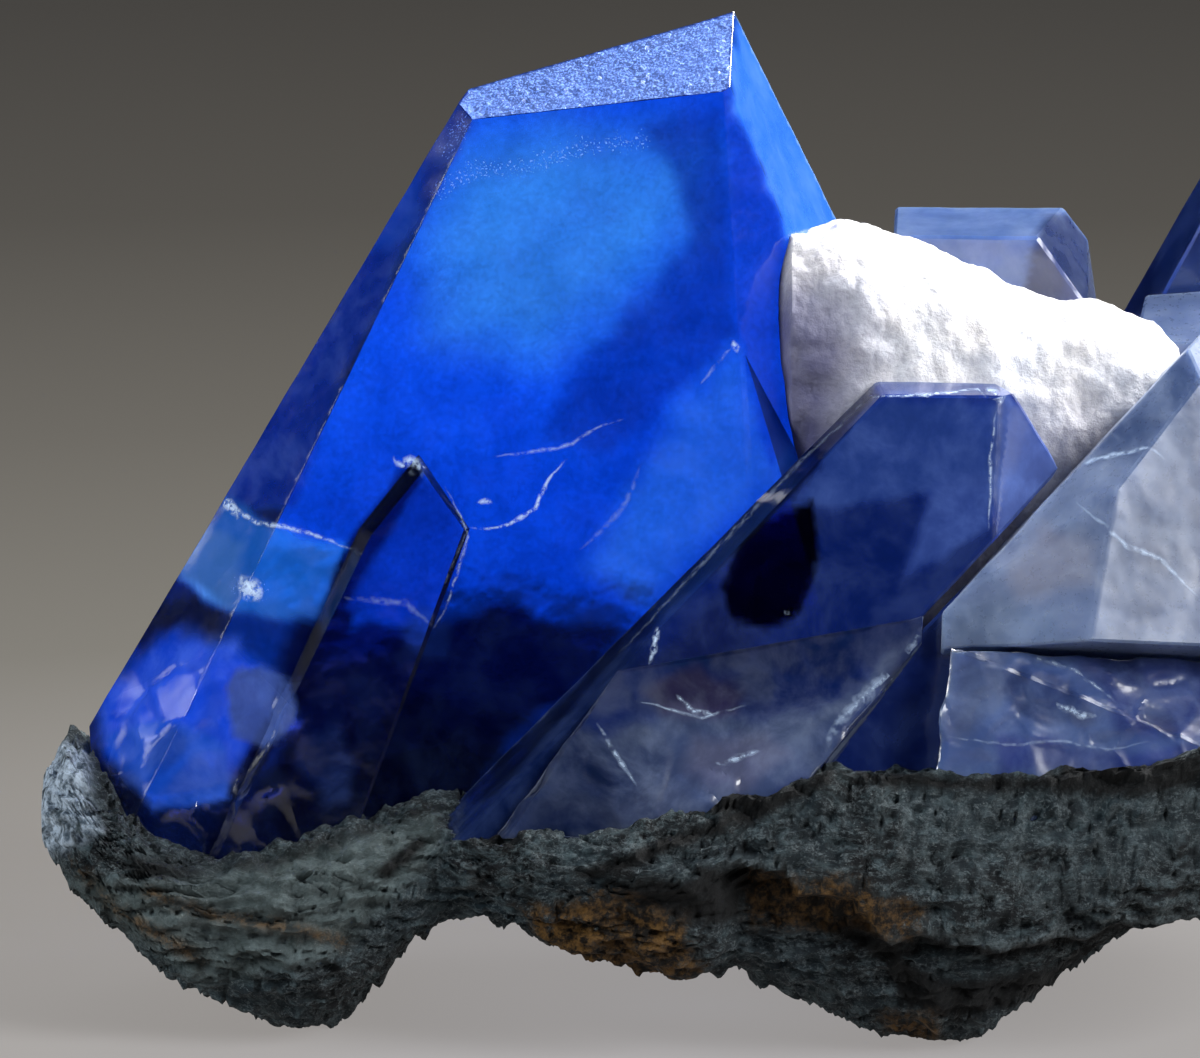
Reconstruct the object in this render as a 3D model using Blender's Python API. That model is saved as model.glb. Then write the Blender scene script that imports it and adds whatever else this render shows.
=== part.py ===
"""Benitoite specimen: clear blue crystals and a white natrolite lump on a slab of schist.

Axes: x runs along the slab, y away from the front, z up. The floor is z = 0.
Lengths below are in millimetres and are scaled to metres when built.
"""

import math

import bmesh
import bpy
from mathutils import Matrix, Vector, noise

MM = 0.001
GAP = 0.3
BLOCK_SIZE = 120.0
# The middle of the specimen's footprint, which becomes the world's origin.
FOOTPRINT_MIDDLE = Vector((3.28, 8.01, 0.0))

# Each crystal face: a point that it passes through, then the azimuth and
# elevation in degrees of the way it faces.
MAIN_CRYSTAL_FACES = (
    ((3.69, 6.60, 28.10), -102.1, 55.1),
    ((-3.81, 6.89, 27.20), -93.3, 8.6),
    ((-3.81, 6.89, 27.20), -135.2, 23.4),
    ((-4.23, 7.56, 27.60), 166.7, 29.6),
    ((3.90, 7.42, 28.69), -17.1, 19.6),
    ((3.69, 6.60, 28.10), -59.2, 9.3),
    ((-3.90, 8.04, 27.97), 103.2, 11.5),
    ((8.40, 10.0, 10.00), 0.0, 0.0),
    ((-15.4, 6.00, 9.00), 178.0, -6.0),
    ((-13.9, 4.50, 5.60), -165.6, -54.5),
    ((-12.0, 6.00, 4.20), 0.0, -83.2),
)
LOWER_GROWTH_FACES = (
    ((4.14, 5.48, 20.69), -93.0, 8.4),
    ((4.14, 5.45, 20.69), -36.9, 18.8),
    ((4.14, 5.45, 20.69), -60.0, 62.0),
    ((6.00, 9.50, 12.00), 90.0, 0.0),
    ((1.00, 8.00, 12.00), 180.0, 0.0),
    ((8.30, 8.00, 12.00), 0.0, 0.0),
    ((4.00, 8.00, 7.50), 0.0, -90.0),
)
STEP_FACES = (
    ((-5.20, 4.65, 16.60), -90.0, 2.5),
    ((-6.12, 4.90, 16.10), -151.0, 37.0),
    ((-7.29, 4.75, 14.40), -152.5, 25.2),
    ((-4.60, 4.70, 16.00), -11.4, 35.8),
    ((-4.10, 4.60, 15.00), -19.3, -17.4),
    ((-6.00, 7.50, 13.00), 90.0, 0.0),
    ((-6.00, 6.00, 7.00), 0.0, -90.0),
)
SECOND_CRYSTAL_FACES = (
    ((9.85, 3.00, 19.51), -92.0, 13.5),
    ((4.80, 4.35, 16.28), -167.0, 44.8),
    ((4.80, 4.35, 16.28), 86.7, -8.6),
    ((9.85, 3.00, 19.51), -90.0, 84.0),
    ((11.88, 2.85, 19.17), -50.0, 8.2),
    ((12.30, 3.27, 19.52), 20.6, 32.9),
    ((11.75, 2.00, 15.38), -9.3, -42.4),
    ((0.00, 2.00, 6.30), 0.0, -90.0),
)
CLEAVED_BLOCK_FACES = (
    ((3.00, 1.17, 12.20), -93.5, 21.2),
    ((9.84, 2.70, 19.58), 88.0, -13.5),
    ((-0.40, 0.30, 10.10), -158.0, 38.0),
    ((8.60, 0.30, 11.60), -35.2, -26.3),
    ((9.55, 1.00, 12.50), 0.0, 0.0),
    ((3.00, 0.00, 6.00), 0.0, -90.0),
)
DARK_WEDGE_FACES = (
    ((8.80, 0.90, 11.00), -85.0, 12.0),
    ((6.60, 2.00, 10.00), 180.0, 0.0),
    ((11.90, 2.00, 15.10), 169.0, 43.0),
    ((9.30, 2.00, 11.00), -15.0, -10.0),
    ((8.00, 3.10, 10.00), 86.7, -8.6),
    ((8.00, 2.00, 7.00), 0.0, -90.0),
)
PALE_CRYSTAL_FACES = (
    ((11.97, 1.96, 15.18), 170.7, 42.4),
    ((11.50, 0.40, 13.50), -110.0, 25.0),
    ((10.10, 2.00, 13.00), 180.0, 0.0),
    ((16.50, 0.20, 14.50), -75.0, 20.0),
    ((13.80, 3.00, 17.50), -136.0, 45.9),
    ((18.20, 4.00, 20.20), -20.0, 50.0),
    ((16.00, 7.50, 14.00), 90.0, 3.0),
    ((21.50, 5.00, 13.00), 5.0, 15.0),
    ((14.00, 0.30, 12.60), -90.0, -70.0),
)
GLASSY_CHUNK_FACES = (
    ((14.00, 0.30, 12.28), 90.0, 70.0),
    ((13.00, -0.90, 10.50), -88.0, 12.0),
    ((13.50, -0.60, 11.50), -70.0, 45.0),
    ((9.65, 1.50, 11.00), 165.0, 10.0),
    ((14.00, 2.00, 7.20), 0.0, -90.0),
    ((20.30, 3.00, 10.00), 0.0, 16.0),
    ((14.00, 7.60, 10.00), 90.0, 0.0),
)
BACK_LEFT_FACES = (
    ((11.00, 13.6, 20.00), -93.0, 1.5),
    ((11.00, 14.5, 22.70), -92.0, 83.0),
    ((8.90, 14.5, 20.00), 178.0, 0.0),
    ((13.40, 14.0, 22.60), -20.0, 35.0),
    ((14.90, 15.0, 20.50), -5.0, 8.0),
    ((11.00, 17.2, 20.00), 88.0, 6.0),
    ((15.30, 15.0, 12.00), 0.0, 0.0),
    ((11.00, 15.0, 7.35), 0.0, -90.0),
)
BACK_RIGHT_FACES = (
    ((19.00, 13.1, 20.00), -88.0, 1.0),
    ((17.60, 13.5, 23.80), -170.0, 28.0),
    ((15.70, 14.5, 15.00), 180.0, 0.0),
    ((19.00, 13.5, 25.00), -60.0, 65.0),
    ((20.60, 14.0, 22.00), 10.0, 4.0),
    ((19.00, 16.4, 18.00), 92.0, 5.0),
    ((19.00, 14.0, 7.60), 0.0, -90.0),
)
BACK_LOW_FACES = (
    ((17.00, 9.00, 17.00), -95.0, 4.0),
    ((15.80, 10.0, 18.00), 174.0, 8.0),
    ((18.50, 10.0, 20.40), -100.0, 72.0),
    ((21.00, 10.5, 16.00), -5.0, 4.0),
    ((18.00, 12.4, 16.00), 90.0, 0.0),
    ((18.00, 10.5, 8.10), 0.0, -90.0),
)

# Cross-sections along x: x, front y, back y, height of the widest line,
# top height, bottom height, and how far the bottom rises towards the front.
ROCK_SECTIONS = (
    (-16.8, 5.0, 8.0, 6.3, 6.9, 5.6, 0.0),
    (-15.9, 3.2, 10.0, 6.2, 8.4, 4.6, 0.0),
    (-14.9, 2.0, 11.8, 5.4, 7.4, 3.4, 0.2),
    (-13.4, 1.2, 13.2, 4.4, 6.0, 2.0, 0.5),
    (-11.6, 0.9, 14.4, 3.8, 5.5, 0.9, 0.9),
    (-10.0, 0.6, 15.2, 3.6, 5.8, 0.0, 1.3),
    (-8.9, 0.4, 15.6, 3.6, 6.2, -0.4, 1.4),
    (-7.9, 0.4, 15.9, 3.8, 6.6, 0.0, 1.3),
    (-6.5, 0.5, 16.2, 4.4, 7.0, 1.5, 0.7),
    (-5.6, 0.6, 16.4, 5.0, 7.3, 2.7, 0.4),
    (-4.4, 0.6, 16.6, 5.4, 7.4, 3.7, 0.1),
    (-3.4, 0.2, 16.7, 5.2, 6.9, 3.8, 0.0),
    (-1.6, -0.9, 16.9, 4.9, 6.8, 3.1, 0.0),
    (0.0, -1.6, 17.2, 4.7, 6.8, 2.6, 0.0),
    (2.0, -2.0, 17.5, 4.8, 7.2, 2.2, 0.0),
    (4.0, -2.2, 17.7, 5.0, 8.0, 2.3, 0.0),
    (5.0, -2.3, 17.8, 5.2, 8.4, 1.7, 0.0),
    (6.5, -2.4, 17.9, 5.2, 8.9, 0.8, 0.0),
    (8.0, -2.4, 18.0, 5.0, 8.9, 0.2, 0.0),
    (10.0, -2.4, 18.0, 5.0, 8.5, -0.4, 0.0),
    (11.5, -2.3, 18.0, 5.0, 8.8, 0.1, 0.0),
    (13.3, -2.2, 17.8, 5.4, 8.9, 1.5, 0.0),
    (14.8, -2.0, 17.6, 5.8, 8.9, 2.7, 0.0),
    (16.0, -2.2, 17.8, 6.1, 9.1, 3.6, 0.0),
    (18.0, -2.0, 17.8, 6.4, 9.4, 3.9, 0.0),
    (20.0, -1.3, 17.6, 6.6, 9.3, 4.3, 0.0),
    (22.0, 1.0, 15.6, 6.8, 8.9, 5.2, 0.0),
    (23.6, 5.0, 11.0, 7.0, 7.8, 6.3, 0.0),
)
LUMP_SECTIONS = (
    (5.2, 6.6, 8.0, 21.5, 22.4, 20.6, 0.0),
    (5.7, 5.0, 10.0, 20.5, 23.6, 17.0, 0.0),
    (7.2, 4.7, 11.5, 19.0, 23.9, 11.0, 0.0),
    (8.9, 4.7, 12.4, 17.5, 23.4, 9.7, 0.0),
    (10.4, 4.8, 12.8, 17.0, 22.8, 9.6, 0.0),
    (12.0, 4.9, 13.0, 16.5, 21.9, 9.6, 0.0),
    (13.8, 5.0, 12.9, 16.5, 21.4, 10.2, 0.0),
    (15.2, 5.3, 12.2, 16.8, 21.2, 12.0, 0.0),
    (16.6, 5.9, 11.0, 17.6, 20.7, 14.5, 0.0),
    (17.4, 7.0, 9.5, 18.6, 19.9, 17.4, 0.0),
)
ROCK_LOWEST_Y = 7.0
ROCK_SQUARENESS = 3.0
ROCK_ROUGHNESS = 0.36
LUMP_SQUARENESS = 2.4
LUMP_ROUGHNESS = 0.35


def remove_scene_objects():
    for old in list(bpy.data.objects):
        bpy.data.objects.remove(old, do_unlink=True)


def new_collection(name):
    collection = bpy.data.collections.new(name)
    bpy.context.scene.collection.children.link(collection)
    return collection


def surface_material(name, colour, roughness, transmission=0.0, ior=1.5):
    material = bpy.data.materials.new(name)
    material.use_nodes = True
    shader = material.node_tree.nodes["Principled BSDF"]
    shader.inputs["Base Color"].default_value = (*colour, 1.0)
    shader.inputs["Roughness"].default_value = roughness
    shader.inputs["Metallic"].default_value = 0.0
    shader.inputs["Transmission Weight"].default_value = transmission
    shader.inputs["IOR"].default_value = ior
    material.diffuse_color = (*colour, 1.0)
    return material


def facing(azimuth, elevation):
    """Unit vector for an azimuth and elevation in degrees."""
    turn = math.radians(azimuth)
    lift = math.radians(elevation)
    return Vector((math.cos(lift) * math.cos(turn), math.cos(lift) * math.sin(turn), math.sin(lift)))


def add_object(name, body, collection, material=None):
    """Turn a bmesh in millimetres into a named object in metres, its origin at its middle."""
    bmesh.ops.translate(body, vec=-FOOTPRINT_MIDDLE, verts=body.verts)
    bmesh.ops.scale(body, vec=(MM, MM, MM), verts=body.verts)
    middle = sum((vert.co for vert in body.verts), Vector()) / len(body.verts)
    bmesh.ops.translate(body, vec=-middle, verts=body.verts)
    bmesh.ops.recalc_face_normals(body, faces=body.faces)
    mesh = bpy.data.meshes.new(name)
    body.to_mesh(mesh)
    body.free()
    made = bpy.data.objects.new(name, mesh)
    made.location = middle
    if material:
        mesh.materials.append(material)
    collection.objects.link(made)
    return made


def faceted_body(faces, outset=0.0):
    """Cut a block along every face plane, each moved outwards by outset."""
    body = bmesh.new()
    centre = sum((Vector(face[0]) for face in faces), Vector()) / len(faces)
    bmesh.ops.create_cube(body, size=BLOCK_SIZE, matrix=Matrix.Translation(centre))
    for through, azimuth, elevation in faces:
        outward = facing(azimuth, elevation)
        cut = bmesh.ops.bisect_plane(
            body,
            geom=body.verts[:] + body.edges[:] + body.faces[:],
            dist=1e-5,
            plane_co=Vector(through) + outward * outset,
            plane_no=outward,
            clear_outer=True,
        )
        rim = [item for item in cut["geom_cut"] if isinstance(item, bmesh.types.BMEdge)]
        if rim:
            bmesh.ops.edgenet_fill(body, edges=rim)
    bmesh.ops.remove_doubles(body, verts=body.verts, dist=1e-4)
    return body


def section_at(sections, x):
    """Section values at x, blended between the two nearest rows."""
    if x <= sections[0][0]:
        return sections[0]
    for left, right in zip(sections, sections[1:]):
        if x <= right[0]:
            share = (x - left[0]) / (right[0] - left[0])
            return tuple(a + (b - a) * share for a, b in zip(left, right))
    return sections[-1]


def signed_power(value, exponent):
    return math.copysign(abs(value) ** exponent, value)


def sectioned_body(sections, squareness, roughness, grain, around, along):
    """Reshape a sphere so that each of its rings follows the cross-section at its x."""
    body = bmesh.new()
    bmesh.ops.create_uvsphere(
        body,
        u_segments=around,
        v_segments=along,
        radius=1.0,
        matrix=Matrix.Rotation(math.radians(90.0), 4, "Y"),
    )
    first = sections[0][0]
    last = sections[-1][0]
    for vert in body.verts:
        place = math.acos(max(-1.0, min(1.0, -vert.co.x))) / math.pi
        ring = math.hypot(vert.co.y, vert.co.z)
        x = first + (last - first) * place
        _, front, back, middle, top, bottom, rise = section_at(sections, x)
        across = signed_power(vert.co.y / ring, 2.0 / squareness) if ring > 1e-4 else 0.0
        upward = signed_power(vert.co.z / ring, 2.0 / squareness) if ring > 1e-4 else 0.0
        y = 0.5 * (front + back) + across * 0.5 * (back - front)
        if upward > 0.0:
            z = middle + upward * (top - middle)
        else:
            z = middle + upward * (middle - bottom)
            forward = max(0.0, ROCK_LOWEST_Y - y) / ROCK_LOWEST_Y
            z += rise * min(1.0, forward) ** 1.5 * abs(upward)
        point = Vector((x, y, z))
        lean = Vector((0.0, across, upward))
        if ring <= 1e-4:
            lean = Vector((vert.co.x, 0.0, 0.0))
        lean.normalize()
        bumps = noise.fractal(point * grain, 0.9, 2.2, 3)
        vert.co = point + lean * roughness * bumps
    return body


def rock_body():
    """The slab, with its feet cut flat on the floor."""
    body = sectioned_body(ROCK_SECTIONS, ROCK_SQUARENESS, ROCK_ROUGHNESS, 0.45, 36, 56)
    cut = bmesh.ops.bisect_plane(
        body,
        geom=body.verts[:] + body.edges[:] + body.faces[:],
        dist=1e-5,
        plane_co=(0.0, 0.0, 0.0),
        plane_no=(0.0, 0.0, -1.0),
        clear_outer=True,
    )
    rim = [item for item in cut["geom_cut"] if isinstance(item, bmesh.types.BMEdge)]
    bmesh.ops.edgenet_fill(body, edges=rim)
    bmesh.ops.remove_doubles(body, verts=body.verts, dist=0.02)
    return body


def lump_body():
    return sectioned_body(LUMP_SECTIONS, LUMP_SQUARENESS, LUMP_ROUGHNESS, 0.6, 28, 26)


def add_boolean(target, operation, other=None, collection=None):
    step = target.modifiers.new(operation.lower(), "BOOLEAN")
    step.operation = operation
    step.solver = "EXACT"
    if collection:
        step.operand_type = "COLLECTION"
        step.collection = collection
    else:
        step.object = other


def join_growths(crystal, outset, cutters):
    """Join the two smaller growths on the main crystal to it."""
    for label, faces in (("lower growth", LOWER_GROWTH_FACES), ("front step", STEP_FACES)):
        growth = add_object(f"{label} of {crystal.name}", faceted_body(faces, outset), cutters)
        add_boolean(crystal, "UNION", growth)


def build():
    remove_scene_objects()
    parts = new_collection("benitoite crystal")
    cutters = new_collection("cutters")
    sockets = new_collection("crystal sockets")

    deep_blue = surface_material("deep blue crystal", (0.02, 0.10, 0.62), 0.08, 1.0, 1.77)
    navy = surface_material("navy crystal", (0.02, 0.05, 0.28), 0.08, 1.0, 1.77)
    grey_blue = surface_material("grey blue crystal", (0.16, 0.22, 0.42), 0.18, 1.0, 1.77)
    pale = surface_material("pale crystal", (0.42, 0.48, 0.58), 0.25, 1.0, 1.77)
    chalky = surface_material("white natrolite", (0.86, 0.84, 0.82), 0.7)
    schist = surface_material("grey green schist", (0.12, 0.14, 0.12), 0.85)

    crystals = (
        ("main_crystal", MAIN_CRYSTAL_FACES, deep_blue),
        ("second_crystal", SECOND_CRYSTAL_FACES, navy),
        ("cleaved_block", CLEAVED_BLOCK_FACES, grey_blue),
        ("dark_wedge", DARK_WEDGE_FACES, navy),
        ("pale_crystal", PALE_CRYSTAL_FACES, pale),
        ("glassy_chunk", GLASSY_CHUNK_FACES, pale),
        ("back_crystal_left", BACK_LEFT_FACES, grey_blue),
        ("back_crystal_right", BACK_RIGHT_FACES, navy),
        ("back_crystal_low", BACK_LOW_FACES, pale),
    )
    for name, faces, material in crystals:
        add_object(name, faceted_body(faces), parts, material)
        add_object(f"{name} socket", faceted_body(faces, GAP), sockets)
    join_growths(parts.objects["main_crystal"], 0.0, cutters)
    join_growths(sockets.objects["main_crystal socket"], GAP, cutters)

    lump = add_object("natrolite_lump", lump_body(), parts, chalky)
    rock = add_object("matrix_rock", rock_body(), parts, schist)
    add_boolean(lump, "DIFFERENCE", collection=sockets)
    add_boolean(rock, "DIFFERENCE", collection=sockets)

    for cutter in (*cutters.objects, *sockets.objects):
        cutter.hide_render = True
        cutter.display_type = "WIRE"


build()
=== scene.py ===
"""Looks of a blue benitoite specimen on schist.

Tables are in millimetres in the specimen's own frame, or in pixels of its front view
(1200 x 1058, 0.03 mm each). Everything built is scaled to metres and shifted so that the
middle of the footprint is the origin.
"""

import math

import bmesh
import bpy
import numpy as np
from mathutils import Matrix, Vector, noise
from mathutils.bvhtree import BVHTree


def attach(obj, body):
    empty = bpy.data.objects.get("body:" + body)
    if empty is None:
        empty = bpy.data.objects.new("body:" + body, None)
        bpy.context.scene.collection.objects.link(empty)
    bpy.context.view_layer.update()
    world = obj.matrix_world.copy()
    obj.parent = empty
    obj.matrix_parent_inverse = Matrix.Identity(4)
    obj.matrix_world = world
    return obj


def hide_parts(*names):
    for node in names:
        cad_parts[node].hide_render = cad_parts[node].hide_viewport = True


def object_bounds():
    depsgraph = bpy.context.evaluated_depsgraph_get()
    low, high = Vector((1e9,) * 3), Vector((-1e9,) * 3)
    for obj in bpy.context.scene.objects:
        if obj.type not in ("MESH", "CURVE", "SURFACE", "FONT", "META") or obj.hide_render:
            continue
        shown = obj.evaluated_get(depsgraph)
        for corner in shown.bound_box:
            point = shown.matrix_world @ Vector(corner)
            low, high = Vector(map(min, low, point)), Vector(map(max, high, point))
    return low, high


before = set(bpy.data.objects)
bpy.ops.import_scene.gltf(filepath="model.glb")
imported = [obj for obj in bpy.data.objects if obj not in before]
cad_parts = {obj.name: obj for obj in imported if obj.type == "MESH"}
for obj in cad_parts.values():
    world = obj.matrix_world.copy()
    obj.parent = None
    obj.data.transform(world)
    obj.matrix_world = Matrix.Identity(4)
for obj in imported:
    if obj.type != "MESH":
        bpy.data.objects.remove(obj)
cad_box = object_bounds()

MM = 0.001
FOOTPRINT_MIDDLE = Vector((3.28, 8.01, 0.0))
PIXEL = 0.03
VIEW_MIDDLE = (600.0, 529.0)
CAMERA_AWAY = 500.0
CAMERA_DROP = math.radians(10.0)
AIM = Vector((0.0, 8.0, 14.607))
LOOK = Vector((0.0, math.cos(CAMERA_DROP), -math.sin(CAMERA_DROP)))
UPWARD = Vector((0.0, math.sin(CAMERA_DROP), math.cos(CAMERA_DROP)))

# Crystal faces: a point that each passes through, then azimuth and elevation.
TOP_FACE = ((3.69, 6.60, 28.10), -102.1, 55.1)
MAIN_FACES = (
    TOP_FACE,
    ((-3.81, 6.89, 27.20), -93.3, 8.6),
    ((-3.81, 6.89, 27.20), -135.2, 23.4),
    ((-4.23, 7.56, 27.60), 166.7, 29.6),
    ((3.90, 7.42, 28.69), -17.1, 19.6),
    ((3.69, 6.60, 28.10), -59.2, 9.3),
    ((-3.90, 8.04, 27.97), 103.2, 11.5),
    ((8.40, 10.0, 10.00), 0.0, 0.0),
    ((-15.4, 6.00, 9.00), 178.0, -6.0),
    ((-13.9, 4.50, 5.60), -165.6, -54.5),
    ((-12.0, 6.00, 4.20), 0.0, -83.2),
)
LOWER_GROWTH_FACES = (
    ((4.14, 5.56, 20.69), -93.0, 8.4),
    ((4.14, 5.45, 20.69), -36.9, 18.8),
    ((4.14, 5.45, 20.69), -60.0, 62.0),
    ((6.00, 9.50, 12.00), 90.0, 0.0),
    ((1.00, 8.00, 12.00), 180.0, 0.0),
    ((8.30, 8.00, 12.00), 0.0, 0.0),
    ((4.00, 8.00, 7.50), 0.0, -90.0),
)
STEP_FACES = (
    ((-5.20, 4.65, 16.60), -90.0, 5.6),
    ((-6.12, 4.90, 16.10), -151.0, 37.0),
    ((-7.29, 4.75, 14.40), -152.5, 25.2),
    ((-4.60, 4.70, 16.00), -11.4, 35.8),
    ((-4.10, 4.60, 15.00), -19.3, -17.4),
    ((-6.00, 7.50, 13.00), 90.0, 0.0),
    ((-6.00, 6.00, 5.20), 0.0, -90.0),
)
SECOND_FACES = (
    ((9.85, 3.00, 19.51), -92.0, 13.5),
    ((4.80, 4.35, 16.28), -167.0, 44.8),
    ((4.80, 4.35, 16.28), 86.7, -8.6),
    ((9.85, 3.00, 19.51), -90.0, 84.0),
    ((11.88, 2.85, 19.17), -50.0, 8.2),
    ((12.30, 3.27, 19.52), 20.6, 32.9),
    ((11.75, 2.00, 15.38), -9.3, -42.4),
    ((0.00, 2.00, 6.30), 0.0, -90.0),
)
CLEAVED_BLOCK_FACES = (
    ((3.00, 1.17, 12.20), -93.5, 21.2),
    ((9.84, 2.70, 19.58), 88.0, -13.5),
    ((-0.40, 0.30, 10.10), -158.0, 38.0),
    ((8.60, 0.30, 11.60), -35.2, -26.3),
    ((9.55, 1.00, 12.50), 0.0, 0.0),
    ((3.00, 0.00, 6.80), 0.0, -90.0),
)
DARK_WEDGE_FACES = (
    ((8.80, 0.90, 11.00), -85.0, 12.0),
    ((6.60, 2.00, 10.00), 180.0, 0.0),
    ((11.90, 2.00, 15.10), 169.0, 43.0),
    ((10.6, 2.00, 11.00), -15.0, -4.0),
    ((8.00, 3.10, 10.00), 86.7, -8.6),
    ((8.00, 2.00, 7.00), 0.0, -90.0),
)
PALE_FACES = (
    ((11.97, 1.96, 15.18), 170.7, 42.4),
    ((11.50, 0.40, 13.50), -110.0, 25.0),
    ((10.10, 2.00, 13.00), 180.0, 0.0),
    ((16.50, 0.20, 14.50), -75.0, 20.0),
    ((13.80, 3.00, 17.50), -136.0, 45.9),
    ((18.20, 4.00, 20.20), -20.0, 50.0),
    ((16.00, 7.50, 14.00), 90.0, 3.0),
    ((21.50, 5.00, 13.00), 5.0, 15.0),
    ((14.00, 0.30, 12.36), -90.0, -70.0),
)
GLASSY_FACES = (
    ((14.00, 0.30, 12.28), 90.0, 70.0),
    ((13.00, -0.90, 10.50), -88.0, 12.0),
    ((13.50, -0.60, 11.50), -70.0, 45.0),
    ((10.50, 1.50, 11.00), 170.0, 5.0),
    ((14.00, 2.00, 7.20), 0.0, -90.0),
    ((20.30, 3.00, 10.00), 0.0, 16.0),
    ((14.00, 7.60, 10.00), 90.0, 0.0),
)
BACK_LEFT_FACES = (
    ((11.00, 13.6, 20.00), -93.0, 1.5),
    ((11.00, 14.5, 22.70), -92.0, 83.0),
    ((8.90, 14.5, 20.00), 178.0, 0.0),
    ((13.40, 14.0, 22.60), -20.0, 35.0),
    ((14.90, 15.0, 20.50), -5.0, 8.0),
    ((11.00, 17.2, 20.00), 88.0, 6.0),
    ((15.30, 15.0, 12.00), 0.0, 0.0),
    ((11.00, 15.0, 7.35), 0.0, -90.0),
)
BACK_RIGHT_FACES = (
    ((19.00, 13.1, 20.00), -88.0, 1.0),
    ((18.05, 13.5, 23.00), -170.0, 28.0),
    ((15.70, 14.5, 15.00), 180.0, 0.0),
    ((19.00, 13.5, 25.00), -60.0, 65.0),
    ((20.60, 14.0, 22.00), 10.0, 4.0),
    ((19.00, 16.4, 18.00), 92.0, 5.0),
    ((19.00, 14.0, 7.60), 0.0, -90.0),
)
BACK_LOW_FACES = (
    ((17.00, 9.00, 17.00), -95.0, 4.0),
    ((15.80, 10.0, 18.00), 174.0, 8.0),
    ((18.50, 10.0, 20.40), -100.0, 72.0),
    ((21.00, 10.5, 16.00), -5.0, 4.0),
    ((18.00, 12.4, 16.00), 90.0, 0.0),
    ((18.00, 10.5, 8.10), 0.0, -90.0),
)

# Cross-sections along x: x, front y, back y, height of the widest line,
# top height, bottom height, and how far the bottom rises towards the front.
ROCK_SECTIONS = (
    (-16.8, 5.0, 8.0, 6.3, 6.9, 5.6, 0.0),
    (-15.9, 3.2, 10.0, 6.2, 8.4, 4.6, 0.0),
    (-14.9, 2.0, 11.8, 5.4, 7.4, 3.4, 0.2),
    (-13.4, 1.2, 13.2, 4.4, 6.0, 2.0, 0.5),
    (-11.6, 0.9, 14.4, 3.8, 5.5, 0.9, 0.9),
    (-10.0, 0.6, 15.2, 3.6, 5.8, 0.0, 1.3),
    (-8.9, 0.4, 15.6, 3.6, 6.2, -0.4, 1.4),
    (-7.9, 0.4, 15.9, 3.8, 6.6, 0.0, 1.3),
    (-6.5, 0.5, 16.2, 4.4, 7.0, 1.5, 0.7),
    (-5.6, 0.6, 16.4, 5.0, 7.3, 2.7, 0.4),
    (-4.4, 0.6, 16.6, 5.4, 7.4, 3.7, 0.1),
    (-3.4, 0.2, 16.7, 5.2, 6.9, 3.8, 0.0),
    (-1.6, -0.9, 16.9, 4.9, 6.8, 3.1, 0.0),
    (0.0, -1.6, 17.2, 4.7, 6.8, 2.6, 0.0),
    (2.0, -2.0, 17.5, 4.8, 7.2, 2.2, 0.0),
    (4.0, -2.2, 17.7, 5.0, 8.0, 2.3, 0.0),
    (5.0, -2.3, 17.8, 5.2, 8.4, 1.7, 0.0),
    (6.5, -2.4, 17.9, 5.2, 8.9, 0.8, 0.0),
    (8.0, -2.4, 18.0, 5.0, 8.9, 0.2, 0.0),
    (10.0, -2.4, 18.0, 5.0, 8.5, -0.4, 0.0),
    (11.5, -2.3, 18.0, 5.0, 8.8, 0.1, 0.0),
    (13.3, -2.2, 17.8, 5.4, 8.9, 1.5, 0.0),
    (14.8, -2.0, 17.6, 5.8, 8.9, 2.7, 0.0),
    (16.0, -2.2, 17.8, 6.1, 9.1, 3.6, 0.0),
    (18.0, -2.0, 17.8, 6.4, 9.4, 3.9, 0.0),
    (20.0, -1.3, 17.6, 6.6, 9.3, 4.3, 0.0),
    (22.0, 1.0, 15.6, 6.8, 8.9, 5.2, 0.0),
    (23.6, 5.0, 11.0, 7.0, 7.8, 6.3, 0.0),
)
LUMP_SECTIONS = (
    (5.2, 6.6, 8.0, 21.5, 22.4, 20.6, 0.0),
    (5.7, 5.0, 10.0, 20.5, 23.6, 17.0, 0.0),
    (7.2, 4.7, 11.5, 19.0, 23.9, 11.0, 0.0),
    (8.9, 4.7, 12.4, 17.5, 23.4, 9.7, 0.0),
    (10.4, 4.8, 12.8, 17.0, 22.8, 9.6, 0.0),
    (12.0, 4.9, 13.0, 16.5, 21.9, 9.6, 0.0),
    (13.8, 5.0, 12.9, 16.5, 21.4, 10.2, 0.0),
    (15.2, 5.3, 12.2, 16.8, 21.2, 12.0, 0.0),
    (16.6, 5.9, 11.0, 17.6, 20.7, 14.5, 0.0),
    (17.4, 7.0, 9.5, 18.6, 19.9, 17.4, 0.0),
)
UNCUT_SIZE = 120.0
REFINE_PASSES = 12
SHORTEST_WORN_EDGE = 0.8
FLATTEST_WORN_EDGE = math.radians(8.0)
RIM_FOOT = 5.6
ROCK_LOWEST_Y = 7.0
ROCK_SQUARENESS = 3.0
LUMP_SQUARENESS = 2.4
TINT_POWER = 1.9
LONGEST_WANDER = 11.0

# Each finished piece's surface, for the cracks, and the pieces that the softboxes light.
surfaces = {}
specimen = bpy.data.collections.new("specimen")


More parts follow.
